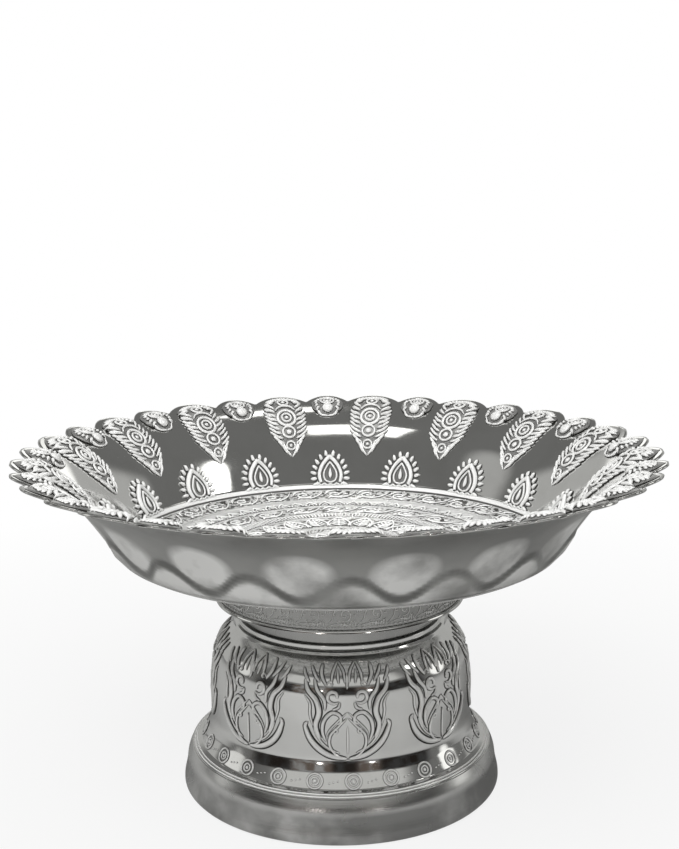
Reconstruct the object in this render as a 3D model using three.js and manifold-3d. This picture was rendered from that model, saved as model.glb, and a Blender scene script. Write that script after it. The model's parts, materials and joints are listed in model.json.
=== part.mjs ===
// Pedestal offering tray of stamped aluminium sheet, in millimetres.
// It stands on z = 0 with its axis on +Z, and its front faces -Y.
// A lobed bowl, a collar cap and a hollow pedestal are stacked and held by one rivet.
import * as THREE from "three";
import { mergeVertices } from "three/addons/utils/BufferGeometryUtils.js";
import Module from "manifold-3d";

const wasm = await Module();
wasm.setup();

// Fits
const SEAT_GAP = 0.2;
const RIVET_CLEARANCE = 0.3;

// Pedestal: heights of its zones, from the table up
const PEDESTAL_SHEET = 1.1;
const BAND_HEIGHT = 16.4;
const LEDGE_RISE = 2.4;
const FLARE_HEIGHT = 12.6;
const DRUM_HEIGHT = 26.5;
const SHOULDER_HEIGHT = 9.8;
const NECK_HEIGHT = 27.8;
// Pedestal: radii of its zones
const FOOT_RADIUS = 63.3;
const BAND_TOP_RADIUS = 61.6;
const HEM_WIDTH = 2.4;
const HEM_HEIGHT = 3.1;
const HEM_ROUND = 1.1;
const LEDGE_INNER_RADIUS = 55.4;
const DRUM_RADIUS = 50.9;
const DRUM_TOP_RADIUS = 49.3;
const NECK_RADIUS = 37.8;
const TOP_EDGE_ROUND = 1;
// Pedestal: the bead round the foot of the neck, and the ring that it stands on
const BEAD_RELIEF = 1.6;
const BEAD_RISE = 3;
const BEAD_RING_WIDTH = 2;
const BEAD_RING_RISE = 1.6;

// Rosettes round the flare
const ROSETTE_COUNT = 24;
const ROSETTE_RADIUS = 3.0;
const ROSETTE_RELIEF = 0.9;
const ROSETTE_SINK = 0.5;
const ROSETTE_TURN = 5;

// Flame motifs round the drum: a boat, a pointed leaf in it, and flames beside and above
const MOTIF_COUNT = 8;
const MOTIF_TURN = 4.6;
const MOTIF_RELIEF = 0.8;
const MOTIF_SINK = 0.3;
const BOAT_HALF_WIDTH = 13.7;
const BOAT_HEIGHT = 13;
const BOAT_BAND = 1.1;
const LEAF_HALF_WIDTH = 5.6;
const LEAF_HEIGHT = 15.2;
const FLAME_HEIGHT = 19;
const FLAME_FOOT = 7.4;
const FLAME_LEAN = 3.4;
const FLAME_BAND = 1.5;
const CROWN_HEIGHT = 7;
const CROWN_PITCH = 4.4;
const CROWN_BAND = 1.1;

// Collar cap between the pedestal and the bowl
const COLLAR_SHEET = 0.9;
const COLLAR_EDGE_RADIUS = 47.9;
const COLLAR_TOP_RADIUS = 45.6;
const COLLAR_SKIRT = 17.9;

// Bowl
const BOWL_SHEET = 1.0;
const RIM_RADIUS = 120;
const WALL_RISE = 34.1;
const WALL_FOOT_RADIUS = 83;
const WALL_FOOT_ANGLE = 62;
const WALL_FOOT_PULL = 23;
const RIM_ANGLE = 18;
const RIM_PULL = 22;
const FLOOR_RADIUS = 70.6;
const FLOOR_STEP = 0.4;
const BORDER_RISE = 2.8;
const RIDGE_RADII = [60, 48, 26];
const RIDGE_HEIGHT = 0.4;
const RIDGE_WIDTH = 1.6;

// Lobes of the rim: large feathers and small buds in turn
const LOBE_PAIRS = 17;
const LOBE_TURN = 2.5;
const NOTCH_DEPTH = 9;
const NOTCH_SHARPNESS = 0.75;
const SCALLOP_WIDTH = 15;

// Raised ornament of the bowl wall
const FEATHER_LENGTH = 30;
const FEATHER_WIDTH = 20;
const FEATHER_RELIEF = 2.3;
const BUD_LENGTH = 11;
const BUD_WIDTH = 15;
const BUD_RELIEF = 1.9;
const DROP_LENGTH = 15.5;
const DROP_WIDTH = 15.8;
const DROP_RELIEF = 1.9;
// Eyes in a line down each feather, by their distance from the rim, and the barbs beside them
const EYE_DEPTHS = [23, 17, 10.4, 3.6];
const EYE_SWELL = 0.32;
const BARB_SWING = 0.1;
const RELIEF_FOOT = 0.6;
const POINT_SHARE = 0.8;
const SPINE_WIDTH = 0.5;

// Soft flutes on the underside of the bowl
const FLUTE_DEPTH = 1.1;

// Rivet and washer
const RIVET_RADIUS = 2;
const RIVET_HEAD_RADIUS = 3.3;
const RIVET_HEAD_HEIGHT = 0.9;
const RIVET_TAIL_RADIUS = 3.6;
const RIVET_TAIL_HEIGHT = 1.6;
const WASHER_RADIUS = 8;
const WASHER_THICKNESS = 1.2;

// Facets
const DRUM_SIDES = 40;
const LINING_SIDES = 24;
const FLOOR_SIDES = 3 * LOBE_PAIRS;
const UNDERSIDE_SIDES = 4 * LOBE_PAIRS;
const SMALL_SIDES = 16;
const ROSETTE_SIDES = 8;
const BOAT_POINTS = 7;

const radians = THREE.MathUtils.degToRad;
const lerp = THREE.MathUtils.lerp;
const PERIOD = (2 * Math.PI) / LOBE_PAIRS;
const FRONT = -Math.PI / 2;

// Heights that follow from the zones
const LEDGE_TOP = BAND_HEIGHT + LEDGE_RISE;
const FLARE_TOP = BAND_HEIGHT + FLARE_HEIGHT;
const DRUM_TOP = FLARE_TOP + DRUM_HEIGHT;
const SHOULDER_TOP = DRUM_TOP + SHOULDER_HEIGHT;
const PEDESTAL_TOP = SHOULDER_TOP + NECK_HEIGHT;
const COLLAR_TOP = PEDESTAL_TOP + SEAT_GAP + COLLAR_SHEET;
const FLOOR_UNDERSIDE = COLLAR_TOP + SEAT_GAP;
const FLOOR_TOP = FLOOR_UNDERSIDE + BOWL_SHEET;
const WALL_FOOT_TOP = FLOOR_TOP + FLOOR_STEP + BORDER_RISE;
const RIM_TOP = WALL_FOOT_TOP + WALL_RISE;
const HOLE_RADIUS = RIVET_RADIUS + RIVET_CLEARANCE;

// A ring of points. Each has an angle round the axis, a radius and a height.
function ring(points) {
  return points.map(([angle, radius, height]) => ({
    angle,
    position: [radius * Math.cos(angle), radius * Math.sin(angle), height],
  }));
}

// A plain round ring.
function roundRing(radius, height, sides) {
  return ring(Array.from({ length: sides }, (_, i) => [FRONT + (i / sides) * 2 * Math.PI, radius, height]));
}

// Stitches each ring to the next and the last to the first, which makes one closed skin.
// The rings go outwards over the upper face and back inwards over the lower one.
function closedSkin(rings) {
  const positions = [];
  const starts = [];
  for (const points of rings) {
    starts.push(positions.length / 3);
    points.forEach((point) => positions.push(...point.position));
  }
  const faces = [];
  rings.forEach((near, n) => {
    const next = (n + 1) % rings.length;
    const far = rings[next];
    const angleOf = (points, i) => points[i % points.length].angle + (i >= points.length ? 2 * Math.PI : 0);
    const nearIndex = (i) => starts[n] + (i % near.length);
    const farIndex = (j) => starts[next] + (j % far.length);
    let i = 0;
    let j = 0;
    while (i < near.length || j < far.length) {
      const nearMiddle = i < near.length ? angleOf(near, i) + angleOf(near, i + 1) : Infinity;
      const farMiddle = j < far.length ? angleOf(far, j) + angleOf(far, j + 1) : Infinity;
      if (farMiddle <= nearMiddle) {
        faces.push(nearIndex(i), farIndex(j), farIndex(j + 1));
        j += 1;
      } else {
        faces.push(nearIndex(i), farIndex(j), nearIndex(i + 1));
        i += 1;
      }
    }
  });
  const geometry = new THREE.BufferGeometry();
  geometry.setAttribute("position", new THREE.Float32BufferAttribute(positions, 3));
  geometry.setIndex(faces);
  return geometry;
}

// A closed solid turned about +Z from a profile of [radius, height] points.
function turned(profile, sides) {
  const points = profile.map(([radius, height]) => new THREE.Vector2(radius, height));
  return new THREE.LatheGeometry(points, sides).rotateX(Math.PI / 2);
}

function toSolid(geometry) {
  const bare = geometry.clone();
  bare.deleteAttribute("normal");
  bare.deleteAttribute("uv");
  const merged = mergeVertices(bare, 1e-4);
  return new wasm.Manifold(
    new wasm.Mesh({
      numProp: 3,
      vertProperties: new Float32Array(merged.attributes.position.array),
      triVerts: new Uint32Array(merged.index.array),
    }),
  );
}

function toGeometry(solid) {
  const made = solid.getMesh();
  const geometry = new THREE.BufferGeometry();
  geometry.setAttribute("position", new THREE.BufferAttribute(made.vertProperties, 3));
  geometry.setIndex(new THREE.BufferAttribute(made.triVerts, 1));
  return geometry;
}

// Bowl wall: one curve from the wall foot out to the lobe tips
const wallStart = new THREE.Vector2(WALL_FOOT_RADIUS, WALL_FOOT_TOP);
const wallEnd = new THREE.Vector2(RIM_RADIUS, RIM_TOP);
const pull = (degrees, length) =>
  new THREE.Vector2(Math.cos(radians(degrees)), Math.sin(radians(degrees))).multiplyScalar(length);
const wallCurve = new THREE.CubicBezierCurve(
  wallStart,
  wallStart.clone().add(pull(WALL_FOOT_ANGLE, WALL_FOOT_PULL)),
  wallEnd.clone().sub(pull(RIM_ANGLE, RIM_PULL)),
  wallEnd,
);

// The wall at a radius: its height, and the unit normal that points into the bowl.
function wallAt(radius) {
  let low = 0;
  let high = 1;
  for (let step = 0; step < 40; step += 1) {
    const middle = (low + high) / 2;
    if (wallCurve.getPoint(middle).x < radius) low = middle;
    else high = middle;
  }
  const along = wallCurve.getTangent(low);
  return { height: wallCurve.getPoint(low).y, inward: -along.y, upward: along.x };
}

// A point of the wall, moved by a distance along its normal.
function wallPoint(angle, radius, lift) {
  const wall = wallAt(radius);
  return [angle, radius + lift * wall.inward, wall.height + lift * wall.upward];
}

// How far round the lobe pattern an angle is, in radians from the front feather.
function lobePhase(angle) {
  return (angle - FRONT - radians(LOBE_TURN)) * LOBE_PAIRS;
}

// Rim radius at an angle: round lobes that meet in narrow notches.
function rimRadius(angle) {
  const notch = 1 - Math.abs(Math.cos(lobePhase(angle))) ** NOTCH_SHARPNESS;
  return RIM_RADIUS - NOTCH_DEPTH * notch;
}

// Rows of the wall. Rows up to the scallops lie at one radius, and the rest follow the rim.
// A row through the eyes has a swell of 1, and one between two eyes has -1.
const scallopStart = RIM_RADIUS - SCALLOP_WIDTH;
function rowAtDepth(depth, swell) {
  if (depth >= SCALLOP_WIDTH) return { radius: RIM_RADIUS - depth, swell };
  return { share: 1 - depth / SCALLOP_WIDTH, swell };
}

function rowRadius(row, angle) {
  if (row.radius !== undefined) return row.radius;
  return lerp(scallopStart, rimRadius(angle), row.share);
}

// Half width and height of each raised ornament along its length, as shares of the full size.
const featherStart = RIM_RADIUS - FEATHER_LENGTH;
const budStart = RIM_RADIUS - BUD_LENGTH;
const dropEnd = WALL_FOOT_RADIUS + DROP_LENGTH;

// An ornament that widens from its point. Its round end is the lobe of the rim or its flat foot.
function ornament(along, width, relief) {
  if (along <= 0) return { half: SPINE_WIDTH, lift: 0 };
  const half = (width / 2) * Math.sin((Math.PI / 2) * Math.min(1, along / POINT_SHARE));
  return { half: Math.max(SPINE_WIDTH, half), lift: relief * Math.min(1, 0.45 + along) };
}

function featherAt(radius) {
  return ornament((radius - featherStart) / FEATHER_LENGTH, FEATHER_WIDTH, FEATHER_RELIEF);
}

function budAt(radius) {
  if (radius > budStart) return ornament((radius - budStart) / BUD_LENGTH, BUD_WIDTH, BUD_RELIEF);
  return ornament((dropEnd - radius) / DROP_LENGTH, DROP_WIDTH, DROP_RELIEF);
}

// Eyes rise and barbs reach out at a swell of 1, and both draw back at -1.
function swollen({ half, lift }, swell) {
  return { half: half * (1 + BARB_SWING * swell), lift: lift * (1 + EYE_SWELL * swell) };
}

// One row of the wall's upper face. Its points gather at the outlines of the ornament.
function wallRow(row) {
  const tipRadius = row.radius ?? lerp(scallopStart, RIM_RADIUS, row.share);
  const edge = row.share === 1;
  const feather = swollen(featherAt(tipRadius), row.swell);
  const bud = swollen(budAt(tipRadius), tipRadius > budStart ? -row.swell : row.swell);
  const points = [];
  for (let pair = 0; pair < LOBE_PAIRS; pair += 1) {
    const centre = FRONT + radians(LOBE_TURN) + pair * PERIOD;
    const featherSide = (feather.half + RELIEF_FOOT) / tipRadius;
    const budSide = PERIOD / 2 - (bud.half + RELIEF_FOOT) / tipRadius;
    // Only the scalloped rows need a point at the notch between the two ornaments
    const halfway = (featherSide + budSide) / 2;
    const notch = row.share === undefined ? [] : [[lerp(halfway, PERIOD / 4, row.share), 0]];
    const half = [
      [0, feather.lift],
      [(0.55 * feather.half) / tipRadius, 0.85 * feather.lift],
      [feather.half / tipRadius, 0.45 * feather.lift],
      [featherSide, 0],
      ...notch,
      [budSide, 0],
      [PERIOD / 2 - bud.half / tipRadius, 0.5 * bud.lift],
      [PERIOD / 2, bud.lift],
    ];
    const left = half.slice(1, -1).map(([offset, lift]) => [centre - offset, lift]);
    const right = half.map(([offset, lift]) => [centre + offset, lift]);
    points.push(...left.reverse(), ...right);
  }
  points.sort((a, b) => a[0] - b[0]);
  return ring(points.map(([angle, lift]) => wallPoint(angle, rowRadius(row, angle), edge ? 0 : lift)));
}

// One row of the wall's lower face, with a soft flute behind each feather.
function undersideRow(row, sides) {
  const start = FRONT + radians(LOBE_TURN);
  const angles = Array.from({ length: sides }, (_, i) => start + (i / sides) * 2 * Math.PI);
  return ring(
    angles.map((angle) => {
      const radius = rowRadius(row, angle);
      const flute = (1 + Math.cos(lobePhase(angle))) / 2;
      return wallPoint(angle, radius, -BOWL_SHEET - row.flute * FLUTE_DEPTH * flute);
    }),
  );
}

// Bowl
function bowlGeometry() {
  const span = WALL_FOOT_RADIUS - FLOOR_RADIUS;
  const borderTop = FLOOR_TOP + FLOOR_STEP;
  const upper = [roundRing(HOLE_RADIUS, FLOOR_TOP, SMALL_SIDES)];
  for (const radius of [...RIDGE_RADII].sort((a, b) => a - b)) {
    upper.push(roundRing(radius - RIDGE_WIDTH / 2, FLOOR_TOP, FLOOR_SIDES));
    upper.push(roundRing(radius, FLOOR_TOP + RIDGE_HEIGHT, FLOOR_SIDES));
    upper.push(roundRing(radius + RIDGE_WIDTH / 2, FLOOR_TOP, FLOOR_SIDES));
  }
  upper.push(roundRing(FLOOR_RADIUS, FLOOR_TOP, FLOOR_SIDES));
  upper.push(roundRing(FLOOR_RADIUS + FLOOR_STEP, borderTop, FLOOR_SIDES));
  upper.push(roundRing(FLOOR_RADIUS + 0.65 * span, borderTop + 0.3 * BORDER_RISE, FLOOR_SIDES));
  upper.push(roundRing(FLOOR_RADIUS + 0.88 * span, borderTop + 0.75 * BORDER_RISE, FLOOR_SIDES));
  const footDepth = RIM_RADIUS - WALL_FOOT_RADIUS;
  const rows = [0, 0.33, 0.67].map((share) => rowAtDepth(lerp(footDepth, EYE_DEPTHS[0], share), 0));
  EYE_DEPTHS.forEach((depth, i) => {
    if (i > 0) rows.push(rowAtDepth((EYE_DEPTHS[i - 1] + depth) / 2, -1));
    rows.push(rowAtDepth(depth, 1));
  });
  rows.push(rowAtDepth(0, 0));
  rows.forEach((row) => upper.push(wallRow(row)));

  const rim = upper[upper.length - 1];
  const rimDown = rim.map(({ angle }) => wallPoint(angle, rimRadius(angle), -BOWL_SHEET));
  const lower = [ring(rimDown)];
  lower.push(undersideRow({ share: 0.5, flute: 0.4 }, UNDERSIDE_SIDES));
  for (const share of [1, 0.62, 0.25]) {
    const radius = lerp(WALL_FOOT_RADIUS, scallopStart, share);
    lower.push(undersideRow({ radius, flute: Math.min(1, 2 * share) }, UNDERSIDE_SIDES));
  }
  lower.push(roundRing(WALL_FOOT_RADIUS, WALL_FOOT_TOP - 1.6 * BOWL_SHEET, UNDERSIDE_SIDES));
  const ledgeUnderside = borderTop + 0.3 * BORDER_RISE - BOWL_SHEET;
  lower.push(roundRing(FLOOR_RADIUS + 0.65 * span, ledgeUnderside, FLOOR_SIDES));
  lower.push(roundRing(FLOOR_RADIUS, FLOOR_UNDERSIDE, FLOOR_SIDES));
  lower.push(roundRing(COLLAR_TOP_RADIUS, FLOOR_UNDERSIDE, FLOOR_SIDES));
  lower.push(roundRing(HOLE_RADIUS, FLOOR_UNDERSIDE, SMALL_SIDES));
  return closedSkin([...upper, ...lower]);
}

// Collar: a shallow cap whose skirt widens down to a turned-out edge
function collarGeometry() {
  const edgeHeight = COLLAR_TOP - COLLAR_SKIRT;
  const lip = COLLAR_SHEET;
  return closedSkin([
    roundRing(HOLE_RADIUS, COLLAR_TOP, SMALL_SIDES),
    roundRing(COLLAR_TOP_RADIUS - COLLAR_SHEET, COLLAR_TOP, DRUM_SIDES),
    roundRing(COLLAR_TOP_RADIUS, COLLAR_TOP - COLLAR_SHEET, DRUM_SIDES),
    roundRing(COLLAR_EDGE_RADIUS - lip, edgeHeight + 1.6 * lip, DRUM_SIDES),
    roundRing(COLLAR_EDGE_RADIUS, edgeHeight + 0.5 * lip, DRUM_SIDES),
    roundRing(COLLAR_EDGE_RADIUS, edgeHeight, DRUM_SIDES),
    roundRing(COLLAR_EDGE_RADIUS - 2 * lip, edgeHeight, DRUM_SIDES),
    roundRing(COLLAR_TOP_RADIUS - COLLAR_SHEET, COLLAR_TOP - 2 * COLLAR_SHEET, DRUM_SIDES),
    roundRing(COLLAR_TOP_RADIUS - 2 * COLLAR_SHEET, COLLAR_TOP - COLLAR_SHEET, DRUM_SIDES),
    roundRing(HOLE_RADIUS, COLLAR_TOP - COLLAR_SHEET, SMALL_SIDES),
  ]);
}

// A point of the sloped ledge, by its shares of the way out and of the way down
function ledgePoint(outward, down) {
  return [lerp(LEDGE_INNER_RADIUS, BAND_TOP_RADIUS, outward), lerp(LEDGE_TOP, BAND_HEIGHT, down)];
}

// Pedestal: outer points from the top plate down to the foot, as [radius, height]
const shoulderRun = DRUM_TOP_RADIUS - NECK_RADIUS;
const beadRadius = NECK_RADIUS + BEAD_RELIEF;
const beadFoot = SHOULDER_TOP + BEAD_RING_RISE;
const beadRingRadius = beadRadius + BEAD_RING_WIDTH;
const drumBelly = DRUM_TOP - 0.62 * DRUM_HEIGHT;
const flareMiddle = [lerp(DRUM_RADIUS, LEDGE_INNER_RADIUS, 0.35), lerp(LEDGE_TOP, FLARE_TOP, 0.55)];
const bandMiddle = [lerp(BAND_TOP_RADIUS, FOOT_RADIUS, 0.6), 0.55 * BAND_HEIGHT];
const outerProfile = [
  [NECK_RADIUS - TOP_EDGE_ROUND, PEDESTAL_TOP],
  [NECK_RADIUS, PEDESTAL_TOP - TOP_EDGE_ROUND],
  [NECK_RADIUS, beadFoot + BEAD_RISE],
  [beadRadius, beadFoot + 0.55 * BEAD_RISE],
  [beadRadius, beadFoot + 0.15 * BEAD_RISE],
  [beadRingRadius - 0.3 * BEAD_RING_WIDTH, beadFoot],
  [beadRingRadius, SHOULDER_TOP + 0.25 * BEAD_RING_RISE],
  [NECK_RADIUS + 0.48 * shoulderRun, SHOULDER_TOP - 0.1 * SHOULDER_HEIGHT],
  [NECK_RADIUS + 0.76 * shoulderRun, SHOULDER_TOP - 0.45 * SHOULDER_HEIGHT],
  [DRUM_TOP_RADIUS, DRUM_TOP],
  [lerp(DRUM_TOP_RADIUS, DRUM_RADIUS, 0.6), DRUM_TOP - 0.27 * DRUM_HEIGHT],
  [DRUM_RADIUS, drumBelly],
  [DRUM_RADIUS, FLARE_TOP],
  flareMiddle,
  ledgePoint(0, 0),
  ledgePoint(0.31, 0.17),
  ledgePoint(0.35, 0.42),
  ledgePoint(0.65, 0.58),
  ledgePoint(0.69, 0.79),
  ledgePoint(0.92, 0.96),
  [BAND_TOP_RADIUS, BAND_HEIGHT - TOP_EDGE_ROUND],
  bandMiddle,
  [FOOT_RADIUS, HEM_HEIGHT],
  [FOOT_RADIUS, HEM_ROUND],
  [FOOT_RADIUS - HEM_ROUND, 0],
];
// Inner points from the folded hem up to the top plate
const innerProfile = [
  [FOOT_RADIUS - HEM_WIDTH, 0],
  [FOOT_RADIUS - HEM_WIDTH, HEM_HEIGHT],
  [FOOT_RADIUS - PEDESTAL_SHEET, HEM_HEIGHT + 0.5 * PEDESTAL_SHEET],
  [bandMiddle[0] - PEDESTAL_SHEET, bandMiddle[1]],
  [BAND_TOP_RADIUS - 1.4 * PEDESTAL_SHEET, BAND_HEIGHT - 1.6 * PEDESTAL_SHEET],
  [LEDGE_INNER_RADIUS, LEDGE_TOP - 1.9 * PEDESTAL_SHEET],
  [LEDGE_INNER_RADIUS - 1.4 * PEDESTAL_SHEET, LEDGE_TOP - 0.6 * PEDESTAL_SHEET],
  [DRUM_RADIUS - PEDESTAL_SHEET, FLARE_TOP],
  [DRUM_RADIUS - PEDESTAL_SHEET, drumBelly],
  [DRUM_TOP_RADIUS - 1.1 * PEDESTAL_SHEET, DRUM_TOP],
  [NECK_RADIUS + 0.66 * shoulderRun, SHOULDER_TOP - 0.5 * SHOULDER_HEIGHT],
  [beadRingRadius - 1.5 * PEDESTAL_SHEET, SHOULDER_TOP - PEDESTAL_SHEET],
  [NECK_RADIUS - PEDESTAL_SHEET, beadFoot + 0.5 * BEAD_RISE],
  [NECK_RADIUS - PEDESTAL_SHEET, PEDESTAL_TOP - TOP_EDGE_ROUND - PEDESTAL_SHEET],
  [NECK_RADIUS - TOP_EDGE_ROUND - PEDESTAL_SHEET, PEDESTAL_TOP - PEDESTAL_SHEET],
];

// A rosette: a raised ring round a dot, turned about +Z, with its foot sunk into the sheet
function rosetteGeometry() {
  const profile = [
    [0, -ROSETTE_SINK],
    [ROSETTE_RADIUS, -ROSETTE_SINK],
    [0.75 * ROSETTE_RADIUS, ROSETTE_RELIEF],
    [0.4 * ROSETTE_RADIUS, 0.4 * ROSETTE_RELIEF],
    [0, ROSETTE_RELIEF],
  ];
  return turned(profile, ROSETTE_SIDES);
}

// Radius of the pedestal's outside at a height between the flare and the bead
function drumRadiusAt(height) {
  const below = outerProfile.findIndex(([, low]) => low <= height);
  const [nearRadius, nearHeight] = outerProfile[below - 1];
  const [farRadius, farHeight] = outerProfile[below];
  return lerp(nearRadius, farRadius, (nearHeight - height) / (nearHeight - farHeight));
}

// A stroke of the motif: a closed ridge along [across, up] points, with a pointed start and end
function ridge(path, halfWidths) {
  const corners = path.map(([across, up], i) => {
    const [startAcross, startUp] = path[Math.max(0, i - 1)];
    const [endAcross, endUp] = path[Math.min(path.length - 1, i + 1)];
    const heading = new THREE.Vector2(endAcross - startAcross, endUp - startUp).normalize();
    const half = halfWidths[i];
    const pinched = half === 0;
    return [-1, 0, 1].map((side) => {
      const height = FLARE_TOP + up - side * half * heading.x;
      const radius = drumRadiusAt(height);
      const lift = side === 0 && !pinched ? MOTIF_RELIEF : -MOTIF_SINK;
      const angle = (across + side * half * heading.y) / radius;
      return [(radius + lift) * Math.sin(angle), -(radius + lift) * Math.cos(angle), height];
    });
  });
  const positions = [];
  const triangle = (a, b, c) => positions.push(...a, ...b, ...c);
  for (let i = 0; i + 1 < corners.length; i += 1) {
    for (let k = 0; k < 3; k += 1) {
      const next = (k + 1) % 3;
      const [a, b, c, d] = [corners[i][k], corners[i][next], corners[i + 1][next], corners[i + 1][k]];
      if (halfWidths[i] > 0) triangle(a, b, c);
      if (halfWidths[i + 1] > 0) triangle(a, c, d);
    }
  }
  const geometry = new THREE.BufferGeometry();
  geometry.setAttribute("position", new THREE.Float32BufferAttribute(positions, 3));
  return mergeVertices(geometry, 1e-4);
}

// One flame motif at the front of the drum
function motifStrokes() {
  const boat = Array.from({ length: BOAT_POINTS }, (_, i) => {
    const turn = Math.PI * (i / (BOAT_POINTS - 1) - 0.5);
    return [BOAT_HALF_WIDTH * Math.sin(turn), BOAT_HEIGHT * (1 - Math.cos(turn)) + BOAT_BAND];
  });
  const leafFoot = 2.5 * BOAT_BAND;
  const leaf = [0, 0.45, 1].map((share) => [0, leafFoot + LEAF_HEIGHT * share]);
  const strokes = [
    ridge(boat, boat.map((_, i) => (i % (BOAT_POINTS - 1) === 0 ? 0 : BOAT_BAND))),
    ridge(leaf, [0, LEAF_HALF_WIDTH, 0]),
  ];
  for (const side of [-1, 1]) {
    const flame = [0, 0.35, 0.7, 1].map((share, i) => [
      side * (FLAME_FOOT + FLAME_LEAN * share - (i % 2) * FLAME_BAND),
      0.4 * BOAT_HEIGHT + FLAME_HEIGHT * share,
    ]);
    strokes.push(ridge(flame, [0, FLAME_BAND, 0.8 * FLAME_BAND, 0]));
  }
  for (const place of [-1, 0, 1]) {
    const tongue = [0, 0.4, 1].map((share) => [
      place * CROWN_PITCH * (1 - 0.3 * share),
      DRUM_HEIGHT - CROWN_BAND + CROWN_HEIGHT * share,
    ]);
    strokes.push(ridge(tongue, [0, CROWN_BAND, 0]));
  }
  return strokes;
}

// Rosettes stand on the flare, halfway between its bend and the ledge, and the motifs on the drum
function pedestalGeometry() {
  const shell = closedSkin([
    roundRing(HOLE_RADIUS, PEDESTAL_TOP, SMALL_SIDES),
    ...outerProfile.map(([radius, height]) => roundRing(radius, height, DRUM_SIDES)),
    ...innerProfile.map(([radius, height]) => roundRing(radius, height, LINING_SIDES)),
    roundRing(HOLE_RADIUS, PEDESTAL_TOP - PEDESTAL_SHEET, SMALL_SIDES),
  ]);
  let solid = toSolid(shell);
  const seatLow = new THREE.Vector2(LEDGE_INNER_RADIUS, LEDGE_TOP);
  const seatHigh = new THREE.Vector2(...flareMiddle);
  const seat = seatLow.clone().add(seatHigh).multiplyScalar(0.5);
  const tilt = Math.atan2(seatHigh.y - seatLow.y, seatLow.x - seatHigh.x);
  for (let i = 0; i < ROSETTE_COUNT; i += 1) {
    const angle = radians(ROSETTE_TURN) + (i / ROSETTE_COUNT) * 2 * Math.PI;
    const rosette = rosetteGeometry()
      .rotateX(tilt)
      .translate(0, -seat.x, seat.y)
      .rotateZ(angle);
    solid = solid.add(toSolid(rosette));
  }
  for (let i = 0; i < MOTIF_COUNT; i += 1) {
    const angle = radians(MOTIF_TURN) + (i / MOTIF_COUNT) * 2 * Math.PI;
    for (const stroke of motifStrokes()) solid = solid.add(toSolid(stroke.rotateZ(angle)));
  }
  return toGeometry(solid);
}

// Rivet through the bowl floor, the collar and the top plate, with a washer above its tail
const washerTop = PEDESTAL_TOP - PEDESTAL_SHEET - SEAT_GAP;
const tailTop = washerTop - WASHER_THICKNESS - SEAT_GAP;
function rivetGeometry() {
  const headFoot = FLOOR_TOP + SEAT_GAP;
  return turned(
    [
      [0, tailTop - RIVET_TAIL_HEIGHT],
      [0.7 * RIVET_TAIL_RADIUS, tailTop - RIVET_TAIL_HEIGHT],
      [RIVET_TAIL_RADIUS, tailTop - 0.5 * RIVET_TAIL_HEIGHT],
      [RIVET_TAIL_RADIUS, tailTop],
      [RIVET_RADIUS, tailTop],
      [RIVET_RADIUS, headFoot],
      [RIVET_HEAD_RADIUS, headFoot],
      [0.85 * RIVET_HEAD_RADIUS, headFoot + 0.7 * RIVET_HEAD_HEIGHT],
      [0.5 * RIVET_HEAD_RADIUS, headFoot + RIVET_HEAD_HEIGHT],
      [0, headFoot + RIVET_HEAD_HEIGHT],
    ],
    SMALL_SIDES,
  );
}

function washerGeometry() {
  return turned(
    [
      [HOLE_RADIUS, washerTop - WASHER_THICKNESS],
      [WASHER_RADIUS, washerTop - WASHER_THICKNESS],
      [WASHER_RADIUS, washerTop],
      [HOLE_RADIUS, washerTop],
      [HOLE_RADIUS, washerTop - WASHER_THICKNESS],
    ],
    SMALL_SIDES,
  );
}

// Finishes
const polished = new THREE.MeshStandardMaterial({ color: 0xd9dadb, roughness: 0.12, metalness: 1 });
const stamped = new THREE.MeshStandardMaterial({ color: 0xcfd1d2, roughness: 0.25, metalness: 1 });
const plain = new THREE.MeshStandardMaterial({ color: 0xa9abac, roughness: 0.45, metalness: 1 });

function piece(name, geometry, material) {
  const mesh = new THREE.Mesh(geometry, material);
  mesh.name = name;
  return mesh;
}

const tray = new THREE.Group();
tray.add(piece("bowl", bowlGeometry(), polished));
tray.add(piece("collar", collarGeometry(), stamped));
tray.add(piece("pedestal", pedestalGeometry(), polished));
tray.add(piece("centre_rivet", rivetGeometry(), plain));
tray.add(piece("backing_washer", washerGeometry(), plain));

export default tray;
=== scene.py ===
# %% [markdown]
# # A pedestal offering tray in stamped aluminium
# A lobed bowl, a collar and a hollow pedestal are pressed from bright sheet and held by one rivet.
# Almost everything that the eye reads on such a tray is reflection, so two things matter here:
# surfaces that are truly round and smooth, and small raised ornament that breaks the reflections up.
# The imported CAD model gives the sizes. It is loaded first and never moved.

# %% Load the frame
import json
import math
import bmesh
import bpy
import numpy as np
from mathutils import Matrix, Vector


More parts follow.
